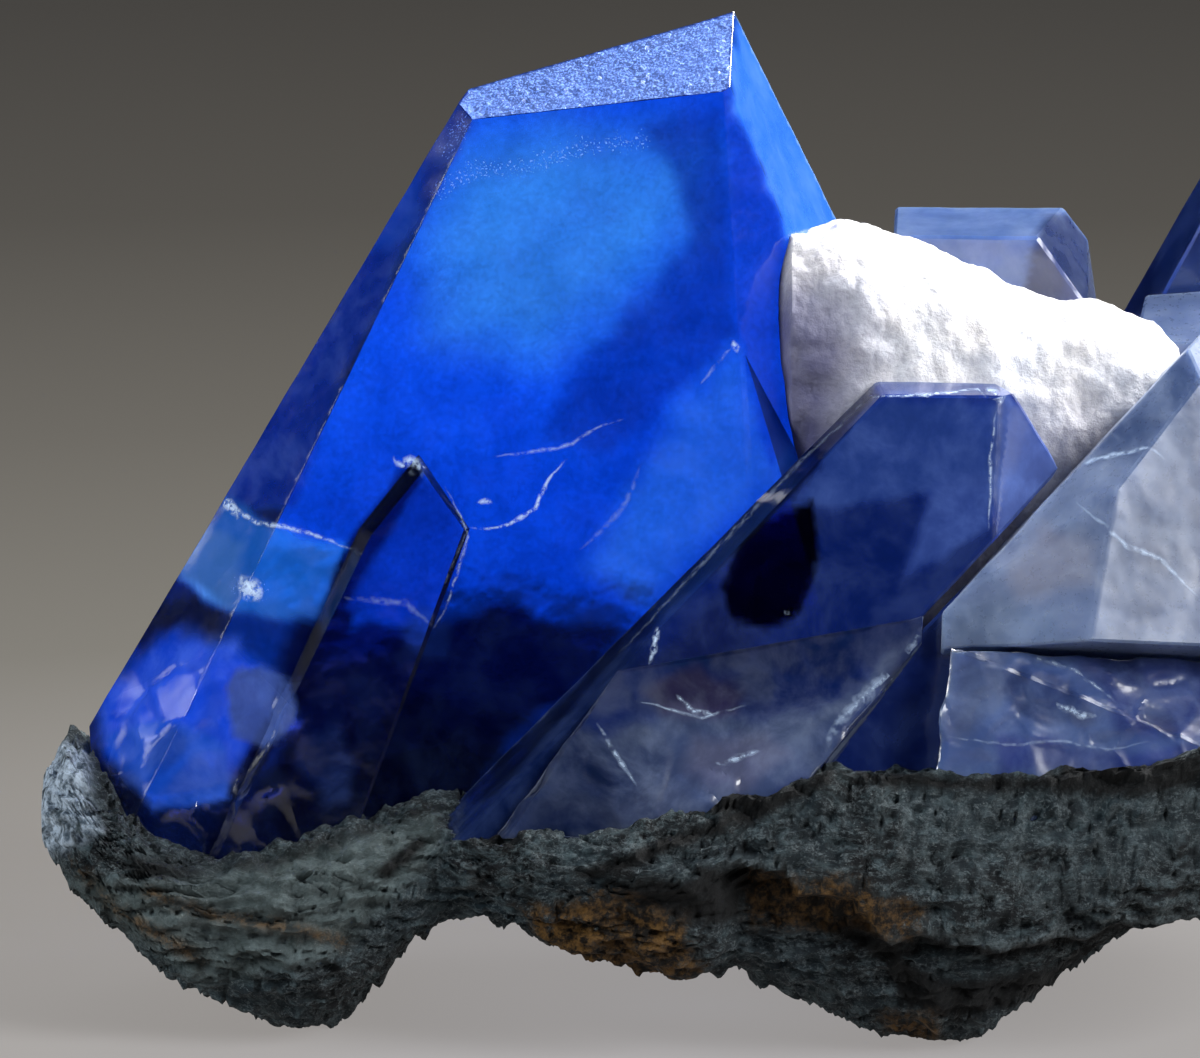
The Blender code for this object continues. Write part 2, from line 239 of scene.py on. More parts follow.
class Link:
    """An output socket that sums and products can be written with."""

    def __init__(self, finish, socket):
        self.finish = finish
        self.socket = socket

    def maths(self, operation, first, second=0.0):
        return self.finish.node("ShaderNodeMath", {"operation": operation}, {0: first, 1: second})

    def __add__(self, other):
        return self.maths("ADD", self, other)

    def __radd__(self, other):
        return self.maths("ADD", other, self)

    def __sub__(self, other):
        return self.maths("SUBTRACT", self, other)

    def __rsub__(self, other):
        return self.maths("SUBTRACT", other, self)

    def __mul__(self, other):
        return self.maths("MULTIPLY", self, other)

    def __rmul__(self, other):
        return self.maths("MULTIPLY", other, self)

    def between(self, low, high):
        """0 below low and 1 above high, with a soft step between."""
        settings = {"interpolation_type": "SMOOTHSTEP"}
        values = {0: self, 1: low, 2: high, 3: 0.0, 4: 1.0}
        return self.finish.node("ShaderNodeMapRange", settings, values)


class Finish:
    """A material that is put together node by node."""

    def __init__(self, name):
        self.material = bpy.data.materials.new(name)
        self.material.use_nodes = True
        self.tree = self.material.node_tree
        self.tree.nodes.clear()
        self.end = self.tree.nodes.new("ShaderNodeOutputMaterial")

    def node(self, kind, settings=None, values=None, output=0):
        made = self.tree.nodes.new(kind)
        for key, value in (settings or {}).items():
            if key == "stops":
                self.set_stops(made.color_ramp, value)
            else:
                setattr(made, key, value)
        for key, value in (values or {}).items():
            if isinstance(value, Link):
                self.tree.links.new(value.socket, made.inputs[key])
            else:
                made.inputs[key].default_value = value
        return Link(self, made.outputs[output])

    def set_stops(self, ramp, stops):
        while len(ramp.elements) > 1:
            ramp.elements.remove(ramp.elements[-1])
        for index, (place, colour) in enumerate(stops):
            stop = ramp.elements.new(place) if index else ramp.elements[0]
            stop.position = place
            stop.color = (*colour, 1.0)

    def place(self):
        """Position on the object in millimetres."""
        here = self.node("ShaderNodeTexCoord", output="Object")
        return self.node("ShaderNodeVectorMath", {"operation": "SCALE"}, {0: here, "Scale": 1000.0})

    def stretched(self, place, x, y, z):
        return self.node("ShaderNodeVectorMath", {"operation": "MULTIPLY"}, {0: place, 1: (x, y, z)})

    def shifted(self, place, by, amount):
        """Position pushed about by a colour of noise."""
        push = self.node("ShaderNodeVectorMath", {"operation": "SCALE"}, {0: by, "Scale": amount})
        return self.node("ShaderNodeVectorMath", {"operation": "ADD"}, {0: place, 1: push})

    def grain(self, place, scale, detail=3.0, roughness=0.55, output=0):
        values = {"Vector": place, "Scale": scale, "Detail": detail, "Roughness": roughness}
        return self.node("ShaderNodeTexNoise", {}, values, output)

    def cells(self, place, scale):
        values = {"Vector": place, "Scale": scale}
        return self.node("ShaderNodeTexVoronoi", {}, values)

    def mix(self, share, first, second, blend="MIX"):
        settings = {"data_type": "RGBA", "blend_type": blend}
        return self.node("ShaderNodeMix", settings, {0: share, 6: first, 7: second}, 2)

    def attribute(self, name, output="Fac"):
        return self.node("ShaderNodeAttribute", {"attribute_name": name}, {}, output)

    def bump(self, height, distance, strength=1.0):
        values = {"Height": height, "Distance": distance * MM, "Strength": strength}
        return self.node("ShaderNodeBump", {}, values)

    def principled(self, values):
        return self.node("ShaderNodeBsdfPrincipled", {}, values)

    def done(self, surface, volume=None):
        self.tree.links.new(surface.socket, self.end.inputs["Surface"])
        if volume:
            self.tree.links.new(volume.socket, self.end.inputs["Volume"])
        return self.material


def facing(azimuth, elevation):
    """Unit vector for an azimuth and elevation in degrees."""
    turn = math.radians(azimuth)
    lift = math.radians(elevation)
    return Vector((math.cos(lift) * math.cos(turn), math.cos(lift) * math.sin(turn), math.sin(lift)))


def cut_off(body, through, outward, material_index=0):
    """Cut away what lies beyond a plane and close the cut."""
    cut = bmesh.ops.bisect_plane(
        body,
        geom=body.verts[:] + body.edges[:] + body.faces[:],
        dist=1e-5,
        plane_co=through,
        plane_no=outward,
        clear_outer=True,
    )
    rim = [item for item in cut["geom_cut"] if isinstance(item, bmesh.types.BMEdge)]
    if rim:
        bmesh.ops.edgenet_fill(body, edges=rim, mat_nr=material_index)


def faceted_body(faces, edge_width=0.0):
    """A block cut along its crystal faces, with narrow worn edges."""
    body = bmesh.new()
    centre = sum((Vector(face[0]) for face in faces), Vector()) / len(faces)
    bmesh.ops.create_cube(body, size=UNCUT_SIZE, matrix=Matrix.Translation(centre))
    for through, azimuth, elevation in faces:
        cut_off(body, Vector(through), facing(azimuth, elevation))
    bmesh.ops.remove_doubles(body, verts=body.verts, dist=1e-3)
    if edge_width:
        wear_edges(body, edge_width)
    bmesh.ops.recalc_face_normals(body, faces=body.faces)
    return body


def wear_edges(body, width):
    """Cut a narrow face, of the second material, along each real edge."""
    bmesh.ops.recalc_face_normals(body, faces=body.faces)
    body.normal_update()
    planes = []
    for edge in body.edges:
        if len(edge.link_faces) != 2 or edge.calc_length() < SHORTEST_WORN_EDGE:
            continue
        first, second = (face.normal for face in edge.link_faces)
        angle = first.angle(second, 0.0)
        if angle < FLATTEST_WORN_EDGE:
            continue
        middle = 0.5 * (edge.verts[0].co + edge.verts[1].co)
        outward = (first + second).normalized()
        own = width * (0.7 + 0.6 * noise.random())
        depth = 0.5 * own * math.tan(0.5 * angle)
        planes.append((middle - outward * depth, outward))
    for through, outward in planes:
        cut_off(body, through, outward, 1)
    bmesh.ops.remove_doubles(body, verts=body.verts, dist=2e-3)


def refine(body, length_at):
    """Halve edges, the longest first, until none is longer than length_at says."""
    bmesh.ops.triangulate(body, faces=body.faces[:])
    for _ in range(REFINE_PASSES):
        long_edges = []
        for edge in body.edges:
            length = edge.calc_length()
            if length > length_at(edge):
                long_edges.append((length, edge))
        if not long_edges:
            break
        long_edges.sort(key=lambda item: -item[0])
        for _, edge in long_edges:
            faces = list(edge.link_faces)
            corners = [next(vert for vert in face.verts if vert not in edge.verts) for face in faces]
            middle = bmesh.utils.edge_split(edge, edge.verts[0], 0.5)[1]
            for face, corner in zip(faces, corners):
                bmesh.utils.face_split(face, middle, corner)


def depth_limit(body, share):
    """How far each corner may be pushed inwards: a share of the thickness behind it."""
    body.normal_update()
    tree = BVHTree.FromBMesh(body)
    limits = []
    for vert in body.verts:
        behind = tree.ray_cast(vert.co - vert.normal * 0.02, -vert.normal)[3]
        limits.append(share * behind if behind else 0.0)
    return limits


def to_object(name, body, materials=()):
    """Turn a body into an object in the scene."""
    mesh = bpy.data.meshes.new(name)
    body.to_mesh(mesh)
    body.free()
    for material in materials:
        mesh.materials.append(material)
    made = bpy.data.objects.new(name, mesh)
    bpy.context.scene.collection.objects.link(made)
    return made


def joined(name, bodies, materials):
    """One closed mesh of several overlapping bodies."""
    made = to_object(name, bodies[0], materials)
    others = [to_object(f"{name} growth", body, materials) for body in bodies[1:]]
    for other in others:
        step = made.modifiers.new("join", "BOOLEAN")
        step.operation = "UNION"
        step.solver = "EXACT"
        step.object = other
    bpy.context.view_layer.update()
    whole = bmesh.new()
    whole.from_object(made, bpy.context.evaluated_depsgraph_get())
    for used in (made, *others):
        bpy.data.objects.remove(used)
    bmesh.ops.dissolve_limit(whole, angle_limit=0.002, verts=whole.verts[:], edges=whole.edges[:])
    return whole


def front_view(points):
    """Where the front view's camera sees points in millimetres, in pixels."""
    away = points - np.array(AIM)
    grow = CAMERA_AWAY / (CAMERA_AWAY + away @ np.array(LOOK))
    across = VIEW_MIDDLE[0] + away[:, 0] * grow / PIXEL
    down = VIEW_MIDDLE[1] - (away @ np.array(UPWARD)) * grow / PIXEL
    return np.stack([across, down], axis=-1)


def distance_inside(points, outline):
    """Distance in pixels to an outline, positive inside it."""
    corners = np.array(outline, float)
    nearest = np.full(len(points), 1e9)
    inside = np.zeros(len(points), bool)
    for start, end in zip(corners, np.roll(corners, -1, axis=0)):
        run = end - start
        share = np.clip(((points - start) @ run) / (run @ run), 0.0, 1.0)
        gap = points - (start + share[:, None] * run)
        nearest = np.minimum(nearest, np.hypot(gap[:, 0], gap[:, 1]))
        crosses = (start[1] > points[:, 1]) != (end[1] > points[:, 1])
        level = np.where(run[1] == 0.0, 1e-9, run[1])
        reach = start[0] + (points[:, 1] - start[1]) * run[0] / level
        inside ^= crosses & (points[:, 0] < reach)
    return np.where(inside, nearest, -nearest)


def distance_to_line(points, line):
    """Distance in pixels to an open line."""
    corners = np.array(line, float)
    nearest = np.full(len(points), 1e9)
    for start, end in zip(corners[:-1], corners[1:]):
        run = end - start
        share = np.clip(((points - start) @ run) / (run @ run), 0.0, 1.0)
        gap = points - (start + share[:, None] * run)
        nearest = np.minimum(nearest, np.hypot(gap[:, 0], gap[:, 1]))
    return nearest


def soft_step(values):
    """0 below 0 and 1 above 1, with a soft rise between, for an array."""
    held = np.clip(values, 0.0, 1.0)
    return held * held * (3.0 - 2.0 * held)


def held_step(value):
    """A soft step for one number."""
    held = min(max(value, 0.0), 1.0)
    return held * held * (3.0 - 2.0 * held)


def wandering(points):
    """A push for each point, about 1 long, that makes the edges of zones wander."""
    return np.array([
        list(noise.noise_vector(Vector(point) * 0.45) + 0.6 * noise.noise_vector(Vector(point) * 1.5))
        for point in points
    ])[:, :2]


def mesh_points(body):
    """Corners and their normals, as arrays."""
    body.normal_update()
    points = np.array([vert.co for vert in body.verts])
    normals = np.array([vert.normal for vert in body.verts])
    return points, normals


def tinted(points, normals, ground, back, layers):
    """Colour of each point: back on the far side, and on the near side the ground
    colour with each layer (outline, colour, softness, strength) laid over it."""
    seen = front_view(points)
    push = wandering(points)
    colour = np.tile(np.array(ground, float), (len(points), 1))
    for outline, shade, softness, strength in layers:
        wander = push * min(0.6 * softness, LONGEST_WANDER)
        share = soft_step(0.5 + distance_inside(seen + wander, outline) / softness) * strength
        colour += (np.array(shade) - colour) * share[:, None]
    turned = soft_step((-normals[:, 1] + 0.05) / 0.25)
    return (np.array(back) + (colour - np.array(back)) * turned[:, None]) ** TINT_POWER


def masked(points, ground, layers):
    """A value for each point: ground, with each layer (outline, value, softness) over it."""
    seen = front_view(points)
    push = wandering(points)
    value = np.full(len(points), float(ground))
    for outline, level, softness in layers:
        wander = push * min(0.6 * softness, LONGEST_WANDER)
        value += (level - value) * soft_step(0.5 + distance_inside(seen + wander, outline) / softness)
    return value


def store(made, name, values):
    colour = values.ndim == 2
    layer = made.data.attributes.new(name, "FLOAT_COLOR" if colour else "FLOAT", "POINT")
    if colour:
        full = np.ones((len(values), 4), np.float32)
        full[:, :3] = np.clip(values, 0.0, 1.0)
        layer.data.foreach_set("color", full.ravel())
    else:
        layer.data.foreach_set("value", values.astype(np.float32))


def finished_piece(name, body, materials, node, sharp=22.0):
    """Turn a body in millimetres into a piece in metres that stands for a node."""
    lowest, highest = (Vector(corner) for corner in cad_box)
    for vert in body.verts:
        put = (vert.co - FOOTPRINT_MIDDLE) * MM
        vert.co = Vector(min(max(put[axis], lowest[axis]), highest[axis]) for axis in range(3))
    for face in body.faces:
        face.smooth = True
    surfaces[name] = BVHTree.FromBMesh(body)
    made = to_object(name, body, materials)
    made.data.set_sharp_from_angle(angle=math.radians(sharp))
    specimen.objects.link(made)
    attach(made, "root")
    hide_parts(node)
    return made


def section_at(sections, x):
    """Section values at x, blended between the two nearest rows."""
    if x <= sections[0][0]:
        return sections[0]
    for left, right in zip(sections, sections[1:]):
        if x <= right[0]:
            share = (x - left[0]) / (right[0] - left[0])
            return tuple(a + (b - a) * share for a, b in zip(left, right))
    return sections[-1]


def signed_power(value, exponent):
    return math.copysign(abs(value) ** exponent, value)


def sectioned_body(sections, squareness, relief, around, along):
    """Reshape a sphere so that its rings follow the cross-sections, and add relief."""
    body = bmesh.new()
    bmesh.ops.create_uvsphere(
        body,
        u_segments=around,
        v_segments=along,
        radius=1.0,
        matrix=Matrix.Rotation(math.radians(90.0), 4, "Y"),
    )
    first = sections[0][0]
    last = sections[-1][0]
    for vert in body.verts:
        place = math.acos(max(-1.0, min(1.0, -vert.co.x))) / math.pi
        ring = math.hypot(vert.co.y, vert.co.z)
        x = first + (last - first) * place
        _, front, back, middle, top, bottom, rise = section_at(sections, x)
        across = signed_power(vert.co.y / ring, 2.0 / squareness) if ring > 1e-4 else 0.0
        upward = signed_power(vert.co.z / ring, 2.0 / squareness) if ring > 1e-4 else 0.0
        y = 0.5 * (front + back) + across * 0.5 * (back - front)
        if upward > 0.0:
            z = middle + upward * (top - middle)
        else:
            z = middle + upward * (middle - bottom)
            forward = max(0.0, ROCK_LOWEST_Y - y) / ROCK_LOWEST_Y
            z += rise * min(1.0, forward) ** 1.5 * abs(upward)
        point = Vector((x, y, z))
        lean = Vector((0.0, across, upward))
        if ring <= 1e-4:
            lean = Vector((vert.co.x, 0.0, 0.0))
        lean.normalize()
        vert.co = point + relief(point, lean)
    return body


def scalloped(point, size, seed=0.0):
    """Depth of shell-shaped breaks of about that size, 0 on their ridges and -1 in their hollows."""
    wander = noise.noise_vector(point * 0.5) * 0.5
    near = noise.voronoi((point + wander) / size + Vector((seed, 0.0, 0.0)))[0][0]
    ripple = 0.025 * math.sin(near * 26.0)
    return min(0.0, near * near * 1.3 - 1.0 + ripple)


def shard(point, size, seed=0.0):
    """Height and brightness of the tilted shard that a point lies on; both end softly at its border."""
    wander = noise.noise_vector(point * 0.6) * 0.35
    apart = Vector((seed, 0.0, 0.0))
    scaled = (point + wander) / size + apart
    distances, middles = noise.voronoi(scaled)
    inner = min(1.0, 3.0 * (1.0 - distances[0] / distances[1]))
    chance = noise.cell_vector(Vector(middles[0]) * 7.3 + Vector((0.31, 0.57, 0.83)))
    lean = (chance - Vector((0.5, 0.5, 0.5))) * 0.5
    height = lean.dot(scaled - Vector(middles[0])) * size * inner
    return height, 1.0 + (0.9 * chance.y - 0.45) * inner


def crystal_finish(name, absorbs, density, clear_roughness, frost_colour, speckle, soft=0.0,
                   milk_roughness=0.2):
    """Clear coloured crystal, milky and sugary where the piece's own layers say so."""
    made = Finish(name)
    place = made.place()
    tint = made.attribute("tint", "Color")
    frost = made.attribute("frost")
    haze = made.attribute("haze")
    dull = made.attribute("dull")
    cloud = made.grain(place, 0.35, 4.0)
    wisps = made.grain(made.shifted(place, made.grain(place, 0.25, 2.0, 0.5, 1), 2.5), 0.7, 5.0, 0.62)
    fine = made.grain(place, 5.0, 4.0, 0.65)
    sugar = made.grain(place, 14.0, 2.0, 0.7)
    dim = made.mix(wisps.between(0.30, 0.62) * 0.45, made.mix(0.5, tint, (0.0, 0.0, 0.0, 1.0)), tint)
    cloudy = made.mix(cloud.between(0.35, 0.7) * 0.5, dim, (1.0, 1.0, 1.0, 1.0), "SOFT_LIGHT")
    mottled = made.mix((1.0 - fine.between(0.38, 0.62)) * 0.22, cloudy, (0.0, 0.0, 0.0, 1.0), "MULTIPLY")
    wavy = made.bump(made.grain(place, 1.1, 2.0), 0.04, 0.3)
    clear = made.principled({
        "Base Color": mottled,
        "Roughness": clear_roughness + 0.06 * fine + 0.35 * frost + 0.1 * dull,
        "IOR": 1.77,
        "Specular IOR Level": 0.22,
        "Transmission Weight": 1.0,
        "Normal": wavy,
    })
    body_colour = made.node("ShaderNodeGamma", {}, {"Color": tint, "Gamma": 0.55})
    milky = made.principled({
        "Base Color": made.mix(wisps.between(0.35, 0.7) * 0.3, body_colour, (*frost_colour, 1.0)),
        "Roughness": milk_roughness + 0.35 * dull,
        "IOR": 1.77,
        "Specular IOR Level": 0.3,
        "Subsurface Weight": soft,
        "Subsurface Radius": (0.7, 0.8, 1.0),
        "Subsurface Scale": 0.0012,
        "Normal": wavy,
    })
    frost_dark = made.mix(0.3, tint, (*frost_colour, 1.0))
    frost_light = (*(min(1.0, 1.3 * channel) for channel in frost_colour), 1.0)
    frosted = made.principled({
        "Base Color": made.mix(sugar.between(0.32, 0.78), frost_dark, frost_light),
        "Roughness": 0.4,
        "Normal": made.bump(sugar, 0.05, 0.9),
    })
    inside = made.node("ShaderNodeMixShader", {}, {0: haze * (0.6 + 0.8 * wisps), 1: clear, 2: milky})
    specks = (sugar * 1.4 + frost + speckle).between(1.0, 1.2)
    surface = made.node("ShaderNodeMixShader", {}, {0: specks, 1: inside, 2: frosted})
    volume = made.node("ShaderNodeVolumeAbsorption", {}, {"Color": (*absorbs, 1.0), "Density": density})
    return made.done(surface, volume)


def worn_edge_finish(name, clear_roughness, light):
    """Crystal edges rubbed light here and there."""
    made = Finish(name)
    place = made.place()
    tint = made.attribute("tint", "Color")
    rubbed = made.grain(place, 2.2, 4.0, 0.7).between(0.42, 0.62)
    clear = made.principled({
        "Base Color": tint,
        "Roughness": clear_roughness,
        "IOR": 1.6,
        "Transmission Weight": 1.0,
    })
    pale = made.principled({"Base Color": made.mix(0.3, tint, (*light, 1.0)), "Roughness": 0.5})
    surface = made.node("ShaderNodeMixShader", {}, {0: rubbed * 0.25, 1: clear, 2: pale})
    return made.done(surface)


def crack_and_highlight_finish():
    made = Finish("light cracks and painted highlight")
    place = made.place()
    patchy = made.grain(place, 4.0, 4.0, 0.7).between(0.36, 0.6)
    return made.done(made.principled({
        "Base Color": (0.62, 0.78, 1.0, 1.0),
        "Roughness": 0.3,
        "Alpha": patchy * made.attribute("fade"),
    }))


def schist_finish():
    made = Finish("grey green schist")
    place = made.place()
    rust = made.attribute("rust")
    crust = made.attribute("crust")
    shade = made.attribute("shade")
    olive = made.attribute("olive")
    pale_lines_and_lip_highlight = made.attribute("pale_lines_and_lip_highlight")
    push = made.grain(place, 0.3, 3.0, 0.5, 1)
    bent = made.shifted(place, push, 2.0)
    layers = made.grain(made.stretched(bent, 0.9, 0.9, 1.6), 1.6, 8.0, 0.76)
    fibres = made.grain(made.stretched(bent, 0.6, 0.6, 1.5), 1.9, 7.0, 0.7) - 0.5
    lines = 1.0 - (fibres * fibres).between(0.0, 0.0016)
    patches = made.grain(place, 0.3, 4.0)
    grit = made.grain(place, 8.0, 5.0, 0.75)
    dark = made.mix(patches.between(0.35, 0.65), (0.004, 0.006, 0.008, 1.0), (0.020, 0.034, 0.042, 1.0))
    green = made.mix(layers.between(0.46, 0.66), dark, (0.080, 0.116, 0.126, 1.0))
    lined = made.mix(lines * grit.between(0.4, 0.6) * 0.45, green, (0.24, 0.29, 0.30, 1.0))
    soft = made.mix(layers.between(0.3, 0.7), (0.058, 0.078, 0.075, 1.0), (0.16, 0.205, 0.203, 1.0))
    lighter = made.mix(olive * (0.55 + 0.6 * patches), lined, soft)
    # pale fern lines, and a painted highlight along the ledge's lip
    fern_and_lip_highlight = made.mix(pale_lines_and_lip_highlight * grit.between(0.32, 0.56), lighter, (0.20, 0.25, 0.26, 1.0))
    flecked = made.mix(grit.between(0.60, 0.76), fern_and_lip_highlight, (0.34, 0.39, 0.38, 1.0))
    # painted shade from the shade attribute
    shaded = made.mix(shade, flecked, (0.002, 0.0025, 0.003, 1.0))
    blotches = made.grain(place, 2.2, 6.0, 0.75).between(0.42, 0.62)
    stain = made.mix(blotches, (0.006, 0.004, 0.002, 1.0), (0.165, 0.085, 0.022, 1.0))
    rusty = made.mix(rust * layers.between(0.30, 0.48), shaded, stain)
    crumbs = made.grain(place, 3.2, 5.0, 0.7).between(0.35, 0.6)
    silver = made.mix(crumbs, (0.12, 0.17, 0.22, 1.0), (0.66, 0.78, 0.90, 1.0))
    colour = made.mix(crust * made.grain(place, 1.3, 4.0).between(0.3, 0.5), rusty, silver)
    relief = layers * 0.7 + grit * 0.4
    surface = made.principled({
        "Base Color": colour,
        "Roughness": 0.9 - 0.5 * grit.between(0.58, 0.72),
        "Normal": made.bump(relief, 0.45, 1.0),
    })
    return made.done(surface)


def natrolite_finish():
    made = Finish("white natrolite")
    place = made.place()
    shade = made.attribute("shade")
    grains = made.cells(place, 3.2)
    sugar = made.grain(place, 6.0, 4.0, 0.7)
    warmth = made.grain(place, 0.5, 3.0).between(0.35, 0.7)
    warm = made.mix(warmth, (0.62, 0.63, 0.66, 1.0), (0.57, 0.55, 0.54, 1.0))
    white = made.mix((1.0 - sugar.between(0.36, 0.56)) * 0.5, warm, (0.42, 0.41, 0.45, 1.0))
    # painted shade: the shade attribute darkens the white to a lavender grey
    colour = made.mix(shade * (0.7 + 0.5 * made.grain(place, 0.8, 3.0)), white, (0.095, 0.095, 0.185, 1.0))
    surface = made.principled({
        "Base Color": colour,
        "Roughness": 0.55,
        "Subsurface Weight": 0.25,
        "Subsurface Radius": (1.0, 0.9, 0.85),
        "Subsurface Scale": 0.0006,
        "Normal": made.bump(sugar * 0.8 + grains * 0.4, 0.09, 0.8),
    })
    return made.done(surface)


# What each zone of a near surface lets through; some zones of the main crystal paint the glow and shade that
# light makes inside it.
BLUE = (0.008, 0.118, 0.92)
AZURE = (0.080, 0.38, 1.00)
ULTRAMARINE = (0.003, 0.082, 0.70)
NAVY = (0.003, 0.042, 0.38)
BLACKISH = (0.0006, 0.006, 0.10)
TURQUOISE = (0.10, 0.34, 1.00)

# Outlines in the front view's pixels.
TURQUOISE_FACET = ((180, 570), (205, 530), (240, 540), (236, 606), (205, 606))
BRIGHT_CORNER = ((100, 680), (160, 640), (240, 640), (300, 720), (250, 790), (110, 770))
UPPER_FIELD = (
    (470, 150), (560, 128), (700, 150), (690, 230), (620, 300), (540, 350), (440, 330), (430, 230),
)
RIGHT_FIELD = (
    (735, 355), (760, 440), (800, 470), (700, 545), (640, 600), (590, 560), (622, 509), (645, 463),
    (690, 405),
)
GREY_SHARD = (
    (222, 690), (240, 668), (262, 664), (290, 680), (298, 704), (285, 735), (262, 748), (232, 735),
)
DARK_SHARD = ((300, 770), (312, 736), (336, 730), (350, 760), (345, 800), (322, 808))
BLUE_SHARD = ((110, 735), (160, 720), (225, 745), (232, 800), (150, 812), (118, 780))
CUT_RIM = ((936, 478), (1000, 470), (990, 530), (907, 570), (920, 535))
CUT_SIDE = ((1004, 384), (1060, 470), (1000, 540), (990, 470), (994, 410))
BLACK_SPOT = ((812, 500), (818, 560), (800, 612), (766, 632), (732, 620), (722, 588), (745, 530))
LONG_EDGE = (
    (870, 385), (800, 445), (700, 542), (553, 710), (459, 797), (490, 800), (620, 654), (760, 529),
    (875, 398),
)
BACK_LEFT_FRONT = ((1046, 215), (1080, 212), (1130, 250), (1140, 310), (1020, 310), (1030, 260))
WINDOW = (
    (227, 500), (273, 524), (357, 550), (349, 573), (323, 620), (262, 617), (231, 608), (180, 575),
    (205, 530),
)
SHATTERED = ((120, 690), (230, 640), (310, 720), (300, 900), (80, 900))
RIGHT_FACE = ((737, 20), (790, 98), (850, 225), (788, 242), (774, 202), (754, 149), (731, 104), (733, 60))
LEFT_STRIP = ((475, 122), (410, 240), (350, 370), (292, 505), (215, 510), (455, 100))
MAIN_LAYERS = (
    (((300, 480), (480, 430), (800, 420), (800, 520), (600, 700), (300, 700)), ULTRAMARINE, 130.0, 0.9),
    # painted glow: the bright azure upper field where the backlight comes through
    (UPPER_FIELD, AZURE, 110.0, 1.0),
    # painted shadow: the dark navy zone right of the middle, where light from behind is blocked
    (((725, 96), (639, 128), (670, 165), (690, 241), (645, 290), (600, 340), (565, 400), (540, 448),
      (610, 448), (665, 415), (735, 345)), NAVY, 26.0, 0.72),
    (RIGHT_FIELD, (0.04, 0.22, 0.95), 44.0, 0.8),
    # painted shade: the near-black bottom of the crystal, where it looks onto the unlit rock
    (((290, 620), (459, 616), (494, 608), (515, 606), (543, 619), (573, 629), (622, 631), (599, 660),
      (497, 760), (440, 830), (280, 850), (200, 870), (270, 700)), BLACKISH, 18.0, 0.96),
    (LEFT_STRIP, (0.003, 0.045, 0.54), 10.0, 0.9),
    (((378, 245), (413, 240), (425, 165), (405, 165)), BLUE, 18.0, 0.8),
    (WINDOW, (0.02, 0.24, 1.0), 12.0, 1.0),
    (TURQUOISE_FACET, TURQUOISE, 12.0, 1.0),
    (((183, 573), (161, 609), (220, 606), (222, 637), (165, 660), (110, 690)), NAVY, 14.0, 0.85),
    (BRIGHT_CORNER, (0.004, 0.08, 0.82), 26.0, 0.95),
    (((110, 770), (250, 780), (290, 850), (200, 870), (90, 830)), NAVY, 22.0, 0.7),
    (RIGHT_FACE, (0.05, 0.24, 1.0), 12.0, 1.0),
    # painted shade: the darker band along the edge below the right face, in shadow
    (((731, 104), (754, 149), (774, 202), (788, 240), (796, 421), (775, 470), (755, 420), (738, 344),
      (730, 200)), ULTRAMARINE, 12.0, 0.9),
    (((424, 466), (404, 466), (350, 538), (284, 686), (228, 792), (240, 798), (298, 712), (346, 630),
      (382, 556), (425, 482)), BLACKISH, 8.0, 0.97),
    (((424, 482), (444, 486), (466, 535), (447, 606), (430, 632), (345, 606), (378, 552)),
      (0.003, 0.045, 0.44), 10.0, 0.9),
    (GREY_SHARD, (0.07, 0.12, 0.36), 9.0, 0.85),
    (DARK_SHARD, (0.02, 0.045, 0.18), 22.0, 0.6),
    (((398, 622), (420, 606), (448, 622), (444, 655), (415, 650)), (0.03, 0.07, 0.34), 14.0, 0.7),
    (BLUE_SHARD, (0.008, 0.14, 0.95), 10.0, 0.8),
)
MAIN_HAZE = (
    (LEFT_STRIP, 0.34, 12.0),
    (TURQUOISE_FACET, 0.7, 12.0),
    (WINDOW, 0.36, 14.0),
    (BRIGHT_CORNER, 0.6, 26.0),
    (UPPER_FIELD, 0.14, 110.0),
    (RIGHT_FACE, 0.4, 14.0),
    (RIGHT_FIELD, 0.2, 50.0),
    (((290, 620), (459, 616), (622, 631), (599, 660), (440, 830), (200, 870), (270, 700)), 0.06, 30.0),
    (((420, 462), (466, 535), (447, 606), (430, 632), (300, 700), (285, 700), (350, 550)), 0.02, 10.0),
    (GREY_SHARD, 0.6, 9.0),
    (DARK_SHARD, 0.3, 22.0),
    (BLUE_SHARD, 0.5, 10.0),
)
MAIN_SUGAR_AND_HOT_SPOT = (
    ((440, 190), (476, 170), (532, 166), (577, 148), (640, 140)),
    ((462, 122), (452, 140), (446, 150)),
    # a painted highlight: the hot spot on the lower left window
    ((240, 590), (262, 590)),
)
SECOND_HAZE = (
    (((860, 390), (1060, 400), (1060, 480), (990, 530), (916, 496), (840, 508), (790, 500)), 0.45, 14.0),
    (CUT_RIM, 0.5, 14.0),
    (CUT_SIDE, 0.6, 6.0),
    (BLACK_SPOT, 0.0, 8.0),
    (LONG_EDGE, 0.08, 8.0),
)
SECOND_LAYERS = (
    (((860, 400), (1060, 400), (1060, 480), (916, 496), (840, 508), (790, 500)), (0.035, 0.09, 0.4), 14.0,
      1.0),
    (CUT_RIM, (0.06, 0.12, 0.44), 14.0, 0.9),
    (CUT_SIDE, (0.06, 0.1, 0.32), 6.0, 1.0),
    (LONG_EDGE, (0.005, 0.03, 0.25), 8.0, 0.95),
    (BLACK_SPOT, (0.0004, 0.001, 0.06), 8.0, 0.97),
    (((590, 738), (640, 660), (720, 600), (760, 640), (700, 720), (620, 760)), (0.03, 0.05, 0.2), 22.0,
      0.7),
    (((400, 860), (560, 690), (640, 640), (640, 720), (600, 800), (540, 880)), (0.006, 0.03, 0.16), 30.0,
      0.85),
)
BLOCK_MILKY = (
    (600, 742), (650, 716), (700, 702), (760, 722), (830, 694), (880, 668), (925, 632), (905, 655),
    (860, 705), (835, 755), (700, 870), (640, 860), (615, 790),
)
BLOCK_HAZE = ((BLOCK_MILKY, 0.5, 22.0),)
